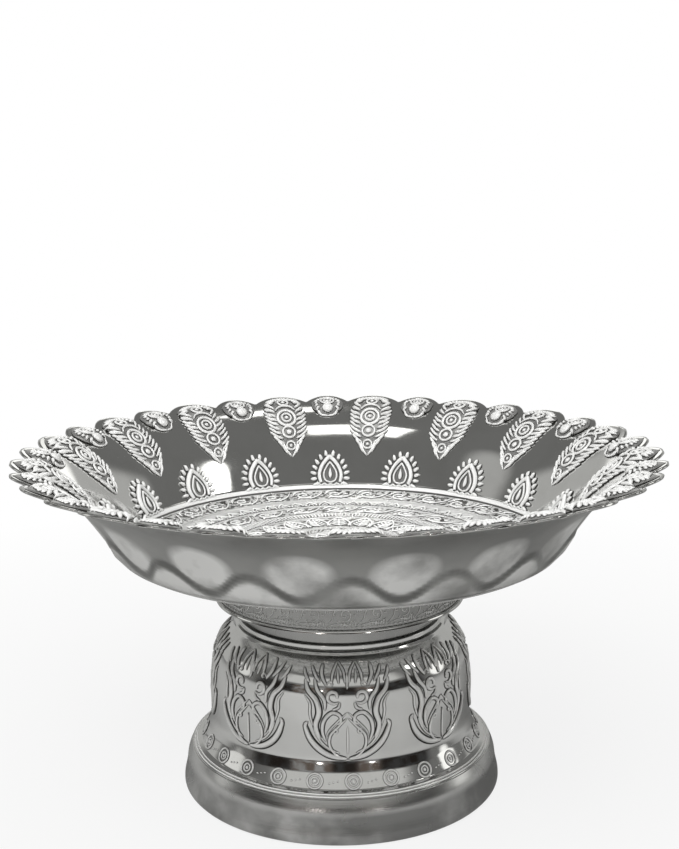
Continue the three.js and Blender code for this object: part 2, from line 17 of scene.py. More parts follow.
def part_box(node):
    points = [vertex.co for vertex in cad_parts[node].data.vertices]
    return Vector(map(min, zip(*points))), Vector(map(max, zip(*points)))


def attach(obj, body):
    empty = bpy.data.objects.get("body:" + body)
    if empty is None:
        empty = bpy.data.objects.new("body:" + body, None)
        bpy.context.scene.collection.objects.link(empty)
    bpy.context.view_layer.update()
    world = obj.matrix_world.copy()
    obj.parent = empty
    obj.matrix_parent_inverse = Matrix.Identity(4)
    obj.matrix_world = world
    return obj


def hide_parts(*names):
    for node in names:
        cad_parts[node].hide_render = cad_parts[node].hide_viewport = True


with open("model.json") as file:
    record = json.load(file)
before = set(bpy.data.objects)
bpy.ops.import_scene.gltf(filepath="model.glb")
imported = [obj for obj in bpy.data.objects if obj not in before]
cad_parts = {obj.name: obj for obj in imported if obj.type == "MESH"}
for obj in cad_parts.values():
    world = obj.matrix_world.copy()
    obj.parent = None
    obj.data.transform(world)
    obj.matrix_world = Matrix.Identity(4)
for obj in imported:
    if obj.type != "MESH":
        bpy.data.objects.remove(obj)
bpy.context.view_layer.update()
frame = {"nodes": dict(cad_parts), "record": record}
print("nodes", sorted(frame["nodes"]))

# %% [markdown]
# ## Sizes
# All sizes below are millimetres, and one factor turns them into metres when a mesh is made.
# Heights come from the frame: the boxes of its nodes and the mount on the bowl's floor.
# Radii of the single zones are the stamping's own, so they are written here once.

# %% Sizes from the frame
MM = 0.001
FULL_TURN = 2 * math.pi
PETALS = 17
PERIOD = FULL_TURN / PETALS
LOBE_TURN = math.radians(2.5)

mounts = {mount["name"]: mount for mount in frame["record"]["mounts"]}
FLOOR_TOP = mounts["bowl_floor"]["pos_m"][2] / MM
PEDESTAL_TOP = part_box("pedestal")[1].z / MM
COLLAR_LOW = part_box("collar")[0].z / MM
COLLAR_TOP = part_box("collar")[1].z / MM
FOOT_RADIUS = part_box("pedestal")[1].x / MM
COLLAR_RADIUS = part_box("collar")[1].x / MM
RIM_RADIUS = 120.0
LEDGE_RADIUS = 70.6
WALL_FOOT = (83.0, FLOOR_TOP + 3.2)
WALL_RISE = 34.1
RIM_TOP = WALL_FOOT[1] + WALL_RISE
NOTCH_DEPTH = 5.6
SCALLOP_REACH = 15.0
SHEET = 1.0
print("floor", round(FLOOR_TOP, 2), "rim", round(RIM_TOP, 2), "foot radius", round(FOOT_RADIUS, 2))


# %% [markdown]
# ## Skins
# Stamped ornament lies on a turned surface. A skin is such a surface of revolution, known by its
# profile from the axis outwards or from the table upwards. It turns a flat drawing into a place in
# space: a distance across, a distance along the profile and a height above the sheet.
# Drawing flat and placing later keeps every ornament in plain millimetres.

# %% A skin places flat drawings on a turned surface
class Skin:
    def __init__(self, points, side):
        self.radius, self.height = np.array(points, float).T
        steps = np.hypot(np.diff(self.radius), np.diff(self.height))
        self.along = np.concatenate([[0.0], np.cumsum(steps)])
        out = np.gradient(self.radius, self.along)
        up = np.gradient(self.height, self.along)
        self.out, self.up = -side * up, side * out
        self.length = self.along[-1]

    def place(self, across, along, lift, azimuth=0.0):
        """Metres, for millimetres across and along the sheet. Azimuth 0 is the front."""
        radius, height, out, up = (
            np.interp(along, self.along, row) for row in (self.radius, self.height, self.out, self.up)
        )
        angle = azimuth + across / np.maximum(radius, 1e-6)
        far = radius + lift * out
        return np.stack([far * np.sin(angle), -far * np.cos(angle), height + lift * up], -1) * MM

    def along_at(self, radius):
        """Distance along a skin whose radius only grows."""
        return np.interp(radius, self.radius, self.along)


def rounded(corners, step=1.2, origin=(0, 0)):
    """Points along straight runs between (radius, height, reach) corners, each eased over its reach.

    Corners are measured from the origin, which is a point in the same (radius, height)."""
    spots = [np.array(corner[:2], float) + origin for corner in corners]
    line = [spots[0]]
    for before, spot, after, corner in zip(spots, spots[1:], spots[2:], corners[1:]):
        reach = corner[2]
        if reach == 0:
            line.append(spot)
            continue
        start = spot + reach * (before - spot) / np.linalg.norm(before - spot)
        end = spot + reach * (after - spot) / np.linalg.norm(after - spot)
        for share in np.linspace(0, 1, 7):
            line.append((1 - share) ** 2 * start + 2 * share * (1 - share) * spot + share**2 * end)
    line.append(spots[-1])
    dense = [line[0]]
    for near, far in zip(line, line[1:]):
        pieces = max(1, math.ceil(np.linalg.norm(far - near) / step))
        dense += [near + (far - near) * k / pieces for k in range(1, pieces + 1)]
    return np.array(dense)


def bezier(start, pull_start, pull_end, end, count):
    share = np.linspace(0, 1, count)[:, None]
    rest = 1 - share
    return (
        rest**3 * np.array(start)
        + 3 * rest**2 * share * np.array(pull_start)
        + 3 * rest * share**2 * np.array(pull_end)
        + share**3 * np.array(end)
    )


# %% The bowl wall's curve
FOOT_PULL, FOOT_SLOPE = 23, math.radians(62)
RIM_PULL, RIM_SLOPE = 22, math.radians(18)
foot, rim = np.array(WALL_FOOT), np.array([RIM_RADIUS, RIM_TOP])
foot_aim, rim_aim = (np.array([math.cos(slope), math.sin(slope)]) for slope in (FOOT_SLOPE, RIM_SLOPE))
wall_curve = bezier(foot, foot + FOOT_PULL * foot_aim, rim - RIM_PULL * rim_aim, rim, 240)
wall = Skin(wall_curve, side=1)
print("wall length", round(wall.length, 1), "mm")

# %% The scalloped edge
FEATHER_SHARE, BUD_SHARE = 0.277, 0.223     # half widths of the two kinds of lobe, in shares of the period
ROUNDNESS = 0.85


def rim_radius(angle):
    """Radius of the scalloped edge: wide and narrow round lobes in turn."""
    phase = angle / PERIOD
    phase = np.abs(phase - np.round(phase))
    place = np.where(phase < FEATHER_SHARE, phase / FEATHER_SHARE, (0.5 - phase) / BUD_SHARE)
    return RIM_RADIUS - NOTCH_DEPTH * (1 - np.cos(math.pi / 2 * np.clip(place, 0, 1)) ** ROUNDNESS)


print("edge radius", rim_radius(np.array([0, FEATHER_SHARE * PERIOD])).round(1))

# %% [markdown]
# ## Tools for turned sheet and stamped marks
# A turned piece is one closed profile. Spinning a whole ring of fine steps at once is slow, so one
# sector is spun, copied round the axis by the same operator, and its seams are welded.
#
# A mark is one stroke of ornament: a grid that is wrapped round a path, with a raised back and a
# foot that is sunk in the sheet, so it is a closed body. Wide marks make pads and leaves, narrow
# ones make barbs and lines, and a mark whose path closes on itself makes the ring of an eye.
# Strokes that belong together are drawn on one motif, which is stamped as often as it repeats.

# %% Turned bodies
AXIS = {"cent": (0, 0, 0), "axis": (0, 0, 1), "dvec": (0, 0, 0)}
TURN_WELD, MARK_WELD = 2e-6, 1e-6


def repeat_round(bm, count):
    """Copies everything in bm round the axis, so that there are count of it."""
    if count > 1:
        everything = bm.verts[:] + bm.edges[:] + bm.faces[:]
        turn = FULL_TURN * (count - 1) / count
        bmesh.ops.spin(bm, geom=everything, angle=turn, steps=count - 1, use_duplicate=True, **AXIS)


def turned(profile, sectors, steps, layers=None):
    """A closed profile of (radius, height) turned about the axis. Layers hold a value for each point."""
    bm = bmesh.new()
    made = {name: bm.verts.layers.float.new(name) for name in (layers or {})}
    verts = [bm.verts.new((0, -radius * MM, height * MM)) for radius, height in profile]
    for name, layer in made.items():
        for vert, value in zip(verts, layers[name]):
            vert[layer] = value
    edges = [bm.edges.new((a, b)) for a, b in zip(verts, verts[1:] + verts[:1])]
    bmesh.ops.spin(bm, geom=verts + edges, angle=FULL_TURN / sectors, steps=steps, **AXIS)
    repeat_round(bm, sectors)
    bmesh.ops.remove_doubles(bm, verts=bm.verts[:], dist=TURN_WELD)
    bmesh.ops.recalc_face_normals(bm, faces=bm.faces[:])
    return bm


def piece(bm, name, material, node):
    """Makes the object, smooth, riding on the tray's one body and standing for its CAD node."""
    mesh = bpy.data.meshes.new(name)
    bm.to_mesh(mesh)
    bm.free()
    mesh.polygons.foreach_set("use_smooth", [True] * len(mesh.polygons))
    mesh.materials.append(material)
    made = bpy.data.objects.new(name, mesh)
    bpy.context.scene.collection.objects.link(made)
    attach(made, "root")
    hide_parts(node)
    mesh.calc_loop_triangles()
    print(f"{name}: {len(mesh.loop_triangles)} triangles")
    return made


# %% Paths and widths
def ends(count, sharpness=0.6, lead=0.0):
    """Widths along a stroke that starts and ends in a point."""
    share = np.linspace(0, 1, count)
    return np.clip(np.sin(math.pi * share ** (1 + lead)), 0, 1) ** sharpness


def eased(start, end, count):
    """Distances from start to end that lie closer together near both."""
    return start + (end - start) * (1 - np.cos(np.linspace(0, math.pi, count))) / 2


def curve_through(points, count):
    """A smooth path through a few chosen points."""
    points = np.array(points, float)
    knots = np.concatenate([[0.0], np.cumsum(np.linalg.norm(np.diff(points, axis=0), axis=1))])
    slopes = np.gradient(points, knots, axis=0)
    at = np.linspace(0, knots[-1], count)
    seg = np.clip(np.searchsorted(knots, at, side="right") - 1, 0, len(knots) - 2)
    span = (knots[seg + 1] - knots[seg])[:, None]
    t = ((at - knots[seg]) / span[:, 0])[:, None]
    return (
        (2 * t**3 - 3 * t**2 + 1) * points[seg]
        + (t**3 - 2 * t**2 + t) * span * slopes[seg]
        + (3 * t**2 - 2 * t**3) * points[seg + 1]
        + (t**3 - t**2) * span * slopes[seg + 1]
    )


def spiral(centre, start_radius, end_radius, start_angle, turns, count):
    """A curl that winds in. Angles are degrees from the across direction."""
    share = np.linspace(0, 1, count)
    radius = start_radius + (end_radius - start_radius) * share
    angle = math.radians(start_angle) + FULL_TURN * turns * share
    return np.stack([centre[0] + radius * np.cos(angle), centre[1] + radius * np.sin(angle)], -1)


# %% Marks
# Sections of a stroke, as (share of its width, share of its height). -1 is the foot in the sheet.
BLADE_BACK = np.array([(0.5, 0), (0.3, 0.55), (0, 1.0), (-0.3, 0.55), (-0.5, 0), (0, -1)])
# The wide low skirt of OUTLINED_BACK takes painted shade, which draws a dark outline round each mark.
OUTLINED_BACK = np.array([
    (0.64, 0), (0.52, 0.08), (0.40, 0.66), (0.16, 0.97), (-0.16, 0.97), (-0.40, 0.66), (-0.52, 0.08),
    (-0.64, 0), (0, -1),
])
PILLOW_TURN = np.linspace(0, math.pi, 15)
PILLOW_BACK = np.vstack([np.stack([0.5 * np.cos(PILLOW_TURN), np.sin(PILLOW_TURN) ** 0.8], -1), [(0, -1)]])
SINK = 0.25


def mark(bm, skin, path, width, height, azimuth, base=None, foot=0.0, back=OUTLINED_BACK, closed=False, ground_shade=0.0):
    """One raised stroke along a flat path of (across, along) points. Its foot and low sides get painted shade,
    and a further even amount of painted shade can be laid over all of it.
    """
    width = np.broadcast_to(width, len(path))
    height = np.broadcast_to(height, len(path))
    if closed:
        heading = np.roll(path[:-1], -1, 0) - np.roll(path[:-1], 1, 0)
        heading = np.vstack([heading, heading[:1]])
    else:
        heading = np.gradient(path, axis=0)
    heading /= np.maximum(np.linalg.norm(heading, axis=1, keepdims=True), 1e-9)
    normal = np.stack([heading[:, 1], -heading[:, 0]], -1)
    section = np.vstack([back, back[:1]])
    spread = path[:, None, :] + normal[:, None, :] * (width[:, None] * section[None, :, 0])[:, :, None]
    share = np.broadcast_to(section[None, :, 1], spread.shape[:2])
    sunk = share < 0
    lift = np.where(sunk, -SINK, share * height[:, None] + foot)
    across, along = spread[..., 0], spread[..., 1]
    if base is not None:
        lift = lift + np.where(sunk, 0, base(across, along))
    places = skin.place(across, along, lift, azimuth).reshape(-1, 3)
    # The recess value is the amount of painted shade: full on the foot, high on the low skirt, falling towards
    # the top of the back, and never below the even shade asked for.
    recess = np.where(sunk, 1.0, np.maximum(ground_shade, 1 - share)).reshape(-1)
    grid = bmesh.ops.create_grid(bm, x_segments=len(section) - 1, y_segments=len(path) - 1, size=1)
    layer = bm.verts.layers.float["recess"]
    for vert, place, depth in zip(grid["verts"], places.tolist(), recess.tolist()):
        vert.co = place
        vert[layer] = depth


class Motif:
    """Strokes drawn flat on one skin. Turn is the motif's azimuth, start is where its drawing has
    along = 0, base(across, along) is the ground that its strokes stand on."""

    def __init__(self, skin, turn=0.0, base=None, start=0.0, foot=0.05):
        self.skin, self.turn, self.base, self.start, self.foot = skin, turn, base, start, foot
        self.bm = bmesh.new()
        self.bm.verts.layers.float.new("recess")

    def stroke(self, path, width, height, **look):
        path = np.array(path, float) + (0, self.start)
        mark(self.bm, self.skin, path, width, height, self.turn, self.base, self.foot, **look)

    def sweep(self, points, count, width, height, side=1, **look):
        """A smooth stroke through a few chosen points, mirrored where side is -1."""
        self.stroke(curve_through(np.array(points) * (side, 1), count), width, height, **look)

    def upright(self, low, high, count, width, height, **look):
        """A straight stroke on the middle line."""
        self.stroke([(0, along) for along in np.linspace(low, high, count)], width, height, **look)

    def ring(self, along, radius, count, width, height):
        turn = np.linspace(0, FULL_TURN, count + 1)
        path = np.stack([radius * np.cos(turn), along + radius * np.sin(turn)], -1)
        self.stroke(path, width, height, closed=True)

    def pad(self, along, half, ground_shade):
        """The low ground of the motif, with painted shade laid over it: half(along) to each side and as high as
        its base.
        """
        middle = np.zeros(len(along))
        width = 2 * half(along)
        width[[0, -1]] = 0
        path = np.stack([middle, along], -1)
        height = self.base(middle, along)
        mark(self.bm, self.skin, path, width, height, self.turn, back=PILLOW_BACK, ground_shade=ground_shade)

    def dot(self, across, along, radius, height, finer=2):
        """A small dome."""
        ball = bmesh.ops.create_icosphere(self.bm, subdivisions=finer, radius=1)["verts"]
        layer = self.bm.verts.layers.float["recess"]
        co = np.array([vert.co for vert in ball])
        aside, ahead = across + radius * co[:, 0], along + self.start + radius * co[:, 1]
        ground = 0 if self.base is None else self.base(aside, ahead)
        places = self.skin.place(aside, ahead, height * co[:, 2] + ground, self.turn)
        # The lower side of each dome gets painted shade through its recess value.
        for vert, place, level in zip(ball, places.tolist(), co[:, 2].tolist()):
            vert.co = place
            vert[layer] = min(1.0, 1 - level)

    def stamp(self, copies, name, material, node):
        """Welds the wrapped grids shut and repeats the motif round the axis, as one piece."""
        bmesh.ops.remove_doubles(self.bm, verts=self.bm.verts[:], dist=MARK_WELD)
        bmesh.ops.recalc_face_normals(self.bm, faces=self.bm.faces[:])
        repeat_round(self.bm, copies)
        return piece(self.bm, name, material, node)


# %% [markdown]
# ## Finishes
# The stamping is polished inside and on the drum, and dull where the wheel doesn't reach: under the
# bowl and on the foot band. Polished sheet is never quite flat, so the mirror gets slow waves and
# soft smudges. The ornament carries painted light, driven by the recess value of each mark: painted
# shade in its hollows and a painted white highlight on its ridges. The dull sheet gets clouds and fine
# turning lines round the axis.

# %% Node helpers
def feed(tree, socket, value):
    """Links a socket to another node's output, or sets it to a value."""
    if hasattr(value, "is_linked"):
        tree.links.new(value, socket)
    else:
        socket.default_value = value


def add_node(tree, kind, inputs=(), **settings):
    """A new shader node with its settings, and with its inputs, by name or number, linked or set."""
    node = tree.nodes.new("ShaderNode" + kind)
    for name, value in settings.items():
        setattr(node, name, value)
    for name, value in dict(inputs).items():
        feed(tree, node.inputs[name], value)
    return node


def start_material(name):
    material = bpy.data.materials.new(name)
    material.use_nodes = True
    tree = material.node_tree
    shader = tree.nodes["Principled BSDF"]
    shader.inputs["Metallic"].default_value = 1.0
    return material, tree, shader, add_node(tree, "TexCoord").outputs["Object"]


def arithmetic(tree, kind, *values):
    return add_node(tree, "Math", enumerate(values), operation=kind).outputs[0]


def attribute(tree, name):
    """The value of that name which the mesh holds for each vertex."""
    return add_node(tree, "Attribute", attribute_name=name).outputs["Fac"]


def noise(tree, vector, scale, detail=2.0, stretch=(1, 1, 1)):
    mapped = add_node(tree, "Mapping", {"Scale": stretch, "Vector": vector}).outputs["Vector"]
    return add_node(tree, "TexNoise", {"Scale": scale, "Detail": detail, "Vector": mapped}).outputs["Fac"]


def to_range(tree, value, low, high, from_low=0.0, from_high=1.0, **settings):
    """A value brought from one range to another and kept inside it."""
    inputs = {"Value": value, "From Min": from_low, "From Max": from_high, "To Min": low, "To Max": high}
    return add_node(tree, "MapRange", inputs, **settings).outputs["Result"]


def blend_colours(tree, factor, low, high):
    node = add_node(tree, "Mix", {"Factor": factor}, data_type="RGBA")
    for name, colour in (("A", low), ("B", high)):
        socket = next(s for s in node.inputs if s.name == name and s.type == "RGBA")
        feed(tree, socket, colour if hasattr(colour, "is_linked") else (*colour, 1))
    return next(s for s in node.outputs if s.type == "RGBA")


def mix_shaders(tree, factor, low, high):
    return add_node(tree, "MixShader", {0: factor, 1: low.outputs[0], 2: high.outputs[0]}).outputs[0]


def dress(tree, shader, colour, roughness, bumps):
    """Gives the shader its colour, its roughness and a chain of (height, distance in mm) bumps."""
    below = {}
    for height, distance in bumps:
        node = add_node(tree, "Bump", {"Strength": 1.0, "Distance": distance * MM, "Height": height, **below})
        below = {"Normal": node.outputs["Normal"]}
    for name, socket in (("Base Color", colour), ("Roughness", roughness), ("Normal", below["Normal"])):
        tree.links.new(socket, shader.inputs[name])


# %% The finishes
BRIGHT = (0.80, 0.80, 0.79)
CLOUDED = (0.72, 0.72, 0.705)
# Painted highlight for the ridges of ornament, and painted shade for its hollows. The painted shade colour is
# also the colour of the fine engraved lines on the floor.
RIDGE_HIGHLIGHT = (0.92, 0.92, 0.91)
SHADE_AND_LINE_GREY = (0.10, 0.098, 0.092)


def polished(name, wave=0.10, roughness=(0.05, 0.14), metallic=1.0, grainy=False):
    """Mirror sheet. Where it is grainy, the "grain" value of a vertex brings in fine engraving."""
    material, tree, shader, place = start_material(name)
    shader.inputs["Metallic"].default_value = metallic
    smudge = noise(tree, place, 55, 3)
    colour = blend_colours(tree, to_range(tree, smudge, 0, 1, 0.45, 0.75), BRIGHT, CLOUDED)
    if grainy:
        lines = to_range(tree, noise(tree, place, 520, 2), 1, 0, 0.44, 0.54)
        cut = arithmetic(tree, "MULTIPLY", attribute(tree, "grain"), lines)
        colour = blend_colours(tree, cut, colour, SHADE_AND_LINE_GREY)
    rough = to_range(tree, smudge, *roughness, 0.35, 0.75)
    dress(tree, shader, colour, rough, [(noise(tree, place, 28, 1), wave), (noise(tree, place, 420, 2), 0.006)])
    return material


def embossed(name, roughness=0.22, ridge_metallic=0.2):
    """Painted light on ornament: a painted white highlight on the ridges and painted shade in the hollows, by how
    deep in the ornament a point lies.
    """
    material, tree, shader, place = start_material(name)
    # Painted light by the recess value: painted shade in the hollows, and on the ridges a painted white highlight
    # where the sheet turns less metallic.
    shade_mask = to_range(tree, attribute(tree, "recess"), 0, 1, 0.44, 0.86)
    tree.links.new(to_range(tree, shade_mask, ridge_metallic, 1.0), shader.inputs["Metallic"])
    rough = to_range(tree, shade_mask, roughness, 0.4)
    dress(tree, shader, blend_colours(tree, shade_mask, RIDGE_HIGHLIGHT, SHADE_AND_LINE_GREY), rough, [(noise(tree, place, 700, 2), 0.02)])
    return material


def dull(name, colour, cloud, roughness, tones=None):
    """Cloudy satin sheet. The "tone" value of a vertex fades in tones[0] below 0 and tones[1] above."""
    material, tree, shader, place = start_material(name)
    patches = noise(tree, place, 38, 4)
    base = blend_colours(tree, to_range(tree, patches, 0, 1, 0.35, 0.7), colour, cloud)
    if tones:
        # Noise breaks up the tones that the tone value lays on the sheet.
        mottle = to_range(tree, noise(tree, place, 45, 6), 0.0, 1.3, 0.32, 0.62)
        toned = arithmetic(tree, "MULTIPLY", attribute(tree, "tone"), mottle)
        base = blend_colours(tree, to_range(tree, toned, 0, 1, 0, 1), base, tones[1])
        base = blend_colours(tree, to_range(tree, toned, 0, 1, 0, -1), base, tones[0])
    rough = to_range(tree, patches, *roughness, 0.3, 0.7)
    dress(tree, shader, base, rough, [(patches, 0.12), (noise(tree, place, 90, 3, (0.6, 0.6, 14)), 0.02)])
    return material


mirror = polished("mirror_aluminium")
floor_mirror = polished("floor_aluminium", wave=0.05, roughness=(0.2, 0.34), metallic=0.5, grainy=True)
stamped = embossed("stamped_aluminium")
engraved = embossed("engraved_aluminium", roughness=0.2)
drum_stamped = embossed("stamped_drum_aluminium", roughness=0.18, ridge_metallic=0.5)
# Painted reflection under the bowl: the dark tone lines the arches and the pale tone fills panels inside arches
# and ovals.
under_tones = (0.2, 0.2, 0.195), (0.95, 0.95, 0.94)
under_dull = dull("dull_underside", (0.41, 0.41, 0.40), (0.34, 0.34, 0.335), (0.3, 0.42), under_tones)
# Tones for the foot band, which is coloured darker towards the bottom.
band_tones = (0.32, 0.32, 0.315), (0.8, 0.8, 0.79)
band_dull = dull("dull_foot_band", (0.76, 0.76, 0.75), (0.6, 0.6, 0.59), (0.2, 0.3), band_tones)
collar_satin = dull("satin_collar", (0.46, 0.46, 0.45), (0.36, 0.36, 0.355), (0.22, 0.32))
rivet_metal = dull("rivet_aluminium", (0.62, 0.62, 0.62), (0.5, 0.5, 0.5), (0.3, 0.4))
print("finishes", len(bpy.data.materials))

# %% [markdown]
# ## Camera, light and floor
# The camera is fitted to the photograph: it stands about half a metre in front, looks down by
# nineteen degrees, and the frame is shifted so that the tray sits in the lower half.
# Metal shows the room, so the world is most of the lighting: a grey room with a pale wall behind, a
# dark band and a light band in front, ceiling lights and small windows that give the highlights.
# Camera rays see plain white. The floor is white to the camera, with a faint shadow round the foot,
# and grey in the metal. A soft box lights the scene and a small spot gives the bowl's floor its
# glare. Neither lamp shows in the metal as a shape.

# %% Camera
PHOTO_WIDTH, PHOTO_HEIGHT = 679, 849
FOCAL_PIXELS = 1292
SENSOR = 36
camera_data = bpy.data.cameras.new("camera")
camera_data.sensor_width = SENSOR
camera_data.lens = FOCAL_PIXELS / PHOTO_HEIGHT * SENSOR
AXIS_COLUMN, AXIS_ROW = 340.0, 622.0
camera_data.shift_x = (PHOTO_WIDTH / 2 - AXIS_COLUMN) / PHOTO_HEIGHT
camera_data.shift_y = (AXIS_ROW - PHOTO_HEIGHT / 2) / PHOTO_HEIGHT
camera_data.clip_start, camera_data.clip_end = 0.01, 50
camera = bpy.data.objects.new("camera", camera_data)
CAMERA_DISTANCE, CAMERA_HEIGHT = 0.477, 0.2327
PITCH, ROLL = math.radians(19.46), math.radians(0.57)
look = Matrix.Rotation(math.pi / 2 - PITCH, 4, "X") @ Matrix.Rotation(-ROLL, 4, "Z")
camera.matrix_world = Matrix.Translation((0, -CAMERA_DISTANCE, CAMERA_HEIGHT)) @ look
bpy.context.scene.collection.objects.link(camera)
bpy.context.scene.camera = camera
bpy.context.scene.view_settings.view_transform = "Standard"
print("lens", round(camera_data.lens, 2), "shift", round(camera_data.shift_y, 3))

# %% World helpers
world = bpy.data.worlds.new("studio")
bpy.context.scene.world = world
world.use_nodes = True
sky = world.node_tree
sky.nodes.clear()
direction = add_node(sky, "TexCoord").outputs["Generated"]
parts = add_node(sky, "SeparateXYZ", {"Vector": direction})
east, north, up = parts.outputs["X"], parts.outputs["Y"], parts.outputs["Z"]
front = arithmetic(sky, "MULTIPLY", north, -1.0)


def both(a, b):
    return arithmetic(sky, "MULTIPLY", a, b)


def soft_step(value, low, high):
    return to_range(sky, value, 0.0, 1.0, low, high, interpolation_type="SMOOTHSTEP")


def between(value, low, high, edge):
    """1 between two values, with soft edges."""
    rise = soft_step(value, low - edge, low + edge)
    fall = soft_step(value, high - edge, high + edge)
    return both(rise, arithmetic(sky, "SUBTRACT", 1.0, fall))


def window(toward, half_angle, blur):
    """1 within some degrees of a direction, with a soft edge."""
    inputs = {0: direction, 1: Vector(toward).normalized()}
    cosine = add_node(sky, "VectorMath", inputs, operation="DOT_PRODUCT").outputs["Value"]
    far, near = (math.cos(math.radians(half_angle * share)) for share in (1 + blur, 1 - blur))
    return soft_step(cosine, far, near)


def paint(level, mask, value):
    """The level so far, with a value laid over it where the mask is 1."""
    return add_node(sky, "Mix", {0: mask, 2: level, 3: value}).outputs[0]


print("world helpers", len(sky.nodes), "nodes")

# %% The room that the metal mirrors
ROOM, BACK_LOW, FRONT_GREY, FRONT_DARK, FRONT_LIGHT, CEILING = 0.16, 0.45, 0.28, 0.04, 0.56, 2.4
DARK_STRETCHES = ((-1.83, -0.72), (-0.14, 0.24), (0.56, 1.43))
WINDOWS = [
    # direction, half angle in degrees, brightness, blur
    ((0, 1, 0.24), 11, 1.3, 0.15), ((0.78, -0.17, 0.61), 7, 3.0, 0.15), ((-0.82, 0.05, 0.57), 11, 0.42, 0.4),
    ((-0.30, -0.94, 0.15), 2.0, 9.0, 0.15), ((0.42, -0.89, 0.14), 1.6, 9.0, 0.15), ((1, 0.1, 0.18), 9, 1.2, 0.15),
    ((-1, 0.1, 0.2), 9, 0.8, 0.15),
]
back_wall = both(soft_step(north, 0.40, 0.50), arithmetic(sky, "SUBTRACT", 1.0, soft_step(up, 0.40, 0.50)))
dark_band = both(soft_step(front, 0.1, 0.3), between(up, -0.08, 0.33, 0.04))
level = paint(ROOM, back_wall, BACK_LOW)
level = paint(level, dark_band, FRONT_GREY)
heading = arithmetic(sky, "ARCTAN2", east, front)
for first, last in DARK_STRETCHES:
    level = paint(level, both(dark_band, between(heading, first, last, 0.06)), FRONT_DARK)
level = paint(level, both(soft_step(front, 0.4, 0.6), between(up, 0.38, 0.60, 0.03)), FRONT_LIGHT)
level = paint(level, both(between(east, -0.30, 0.14, 0.02), between(north, -0.25, 0.0, 0.02)), CEILING)
rear_light = both(between(north, 0.43, 0.53, 0.015), soft_step(up, 0.6, 0.7))
level = paint(level, both(between(east, 0.02, 0.17, 0.015), rear_light), CEILING)
for toward, half_angle, brightness, blur in WINDOWS:
    level = paint(level, window(toward, half_angle, blur), brightness)

clutter = add_node(sky, "TexNoise", {"Scale": 7.0, "Detail": 3, "Vector": direction}).outputs["Fac"]
tint = add_node(sky, "ValToRGB", {"Fac": clutter})
stops = (0.42, (0.40, 0.32, 0.27, 1)), (0.60, (1.0, 1.0, 0.985, 1))
for element, (position, colour) in zip(tint.color_ramp.elements, stops):
    element.position, element.color = position, colour
shade = blend_colours(sky, dark_band, (1, 1, 0.97), tint.outputs["Color"])
studio = add_node(sky, "Background", {"Color": shade, "Strength": level})
white = add_node(sky, "Background", {"Color": (1, 1, 1, 1)})
seen = mix_shaders(sky, add_node(sky, "LightPath").outputs["Is Camera Ray"], studio, white)
add_node(sky, "OutputWorld", {"Surface": seen})
print("world nodes", len(sky.nodes))

# %% Floor
FLOOR_GREY, FLOOR_WHITE, FLOOR_GLOSSY_SHARE = (0.44, 0.44, 0.435, 1), (1, 1, 1, 1), 0.05
floor_bm = bmesh.new()
bmesh.ops.create_circle(floor_bm, cap_ends=True, radius=6, segments=96)
floor_mesh = bpy.data.meshes.new("floor")
floor_bm.to_mesh(floor_mesh)
floor_bm.free()
floor = bpy.data.objects.new("floor", floor_mesh)
floor.location.z = -0.0003
bpy.context.scene.collection.objects.link(floor)
paper = bpy.data.materials.new("paper")
paper.use_nodes = True
tree = paper.node_tree
tree.nodes.clear()
matt = add_node(tree, "BsdfDiffuse", {"Color": FLOOR_GREY})
glow = add_node(tree, "Emission", {"Color": FLOOR_WHITE})
rays = add_node(tree, "LightPath").outputs
ground = add_node(tree, "TexCoord").outputs["Object"]
distance = add_node(tree, "VectorMath", {0: ground}, operation="LENGTH").outputs["Value"]
whiteness = to_range(tree, distance, 0.86, 1.0, 0.08, 0.45)
glossy_share = arithmetic(tree, "MULTIPLY", rays["Is Glossy Ray"], FLOOR_GLOSSY_SHARE)
share = arithmetic(tree, "MULTIPLY_ADD", rays["Is Camera Ray"], whiteness, glossy_share)
add_node(tree, "OutputMaterial", {"Surface": mix_shaders(tree, share, matt, glow)})
floor_mesh.materials.append(paper)
print("floor nodes", len(tree.nodes))


# %% Lamps
def lamp(name, kind, place, aim, **settings):
    """A lamp that shines from a place at a point and that the metal doesn't mirror."""
    data = bpy.data.lights.new(name, kind)
    for key, value in settings.items():
        setattr(data, key, value)
    made = bpy.data.objects.new(name, data)
    back = Vector(place) - Vector(aim)
    made.matrix_world = Matrix.Translation(place) @ back.to_track_quat("Z", "Y").to_matrix().to_4x4()
    made.visible_glossy = False
    bpy.context.scene.collection.objects.link(made)


lamp("soft_box", "AREA", (-0.2, -0.62, 0.97), (0, 0, 0), energy=12.5, shape="RECTANGLE", size=0.8, size_y=0.5)
lamp("floor_spot", "SPOT", (0.0, 0.14, 0.38), (0.004, 0.03, 0.095), energy=3.0, spot_size=math.radians(26),
     spot_blend=1.0, shadow_soft_size=0.03)
print("lamps", len(bpy.data.lights))

# %% [markdown]
# ## Bowl wall
# The wall flares in one curve and its edge is cut to round lobes. It could be drawn lobe by lobe,
# but the lobes lie on one round surface, so the wall is turned whole and only its edge rows are
# drawn in to the scalloped outline. The back keeps soft arches from the stamping tool, with a
# shallow oval between two of them. Its colour carries painted reflection: pale panels inside the
# arches and ovals, and a dark line along each arch.

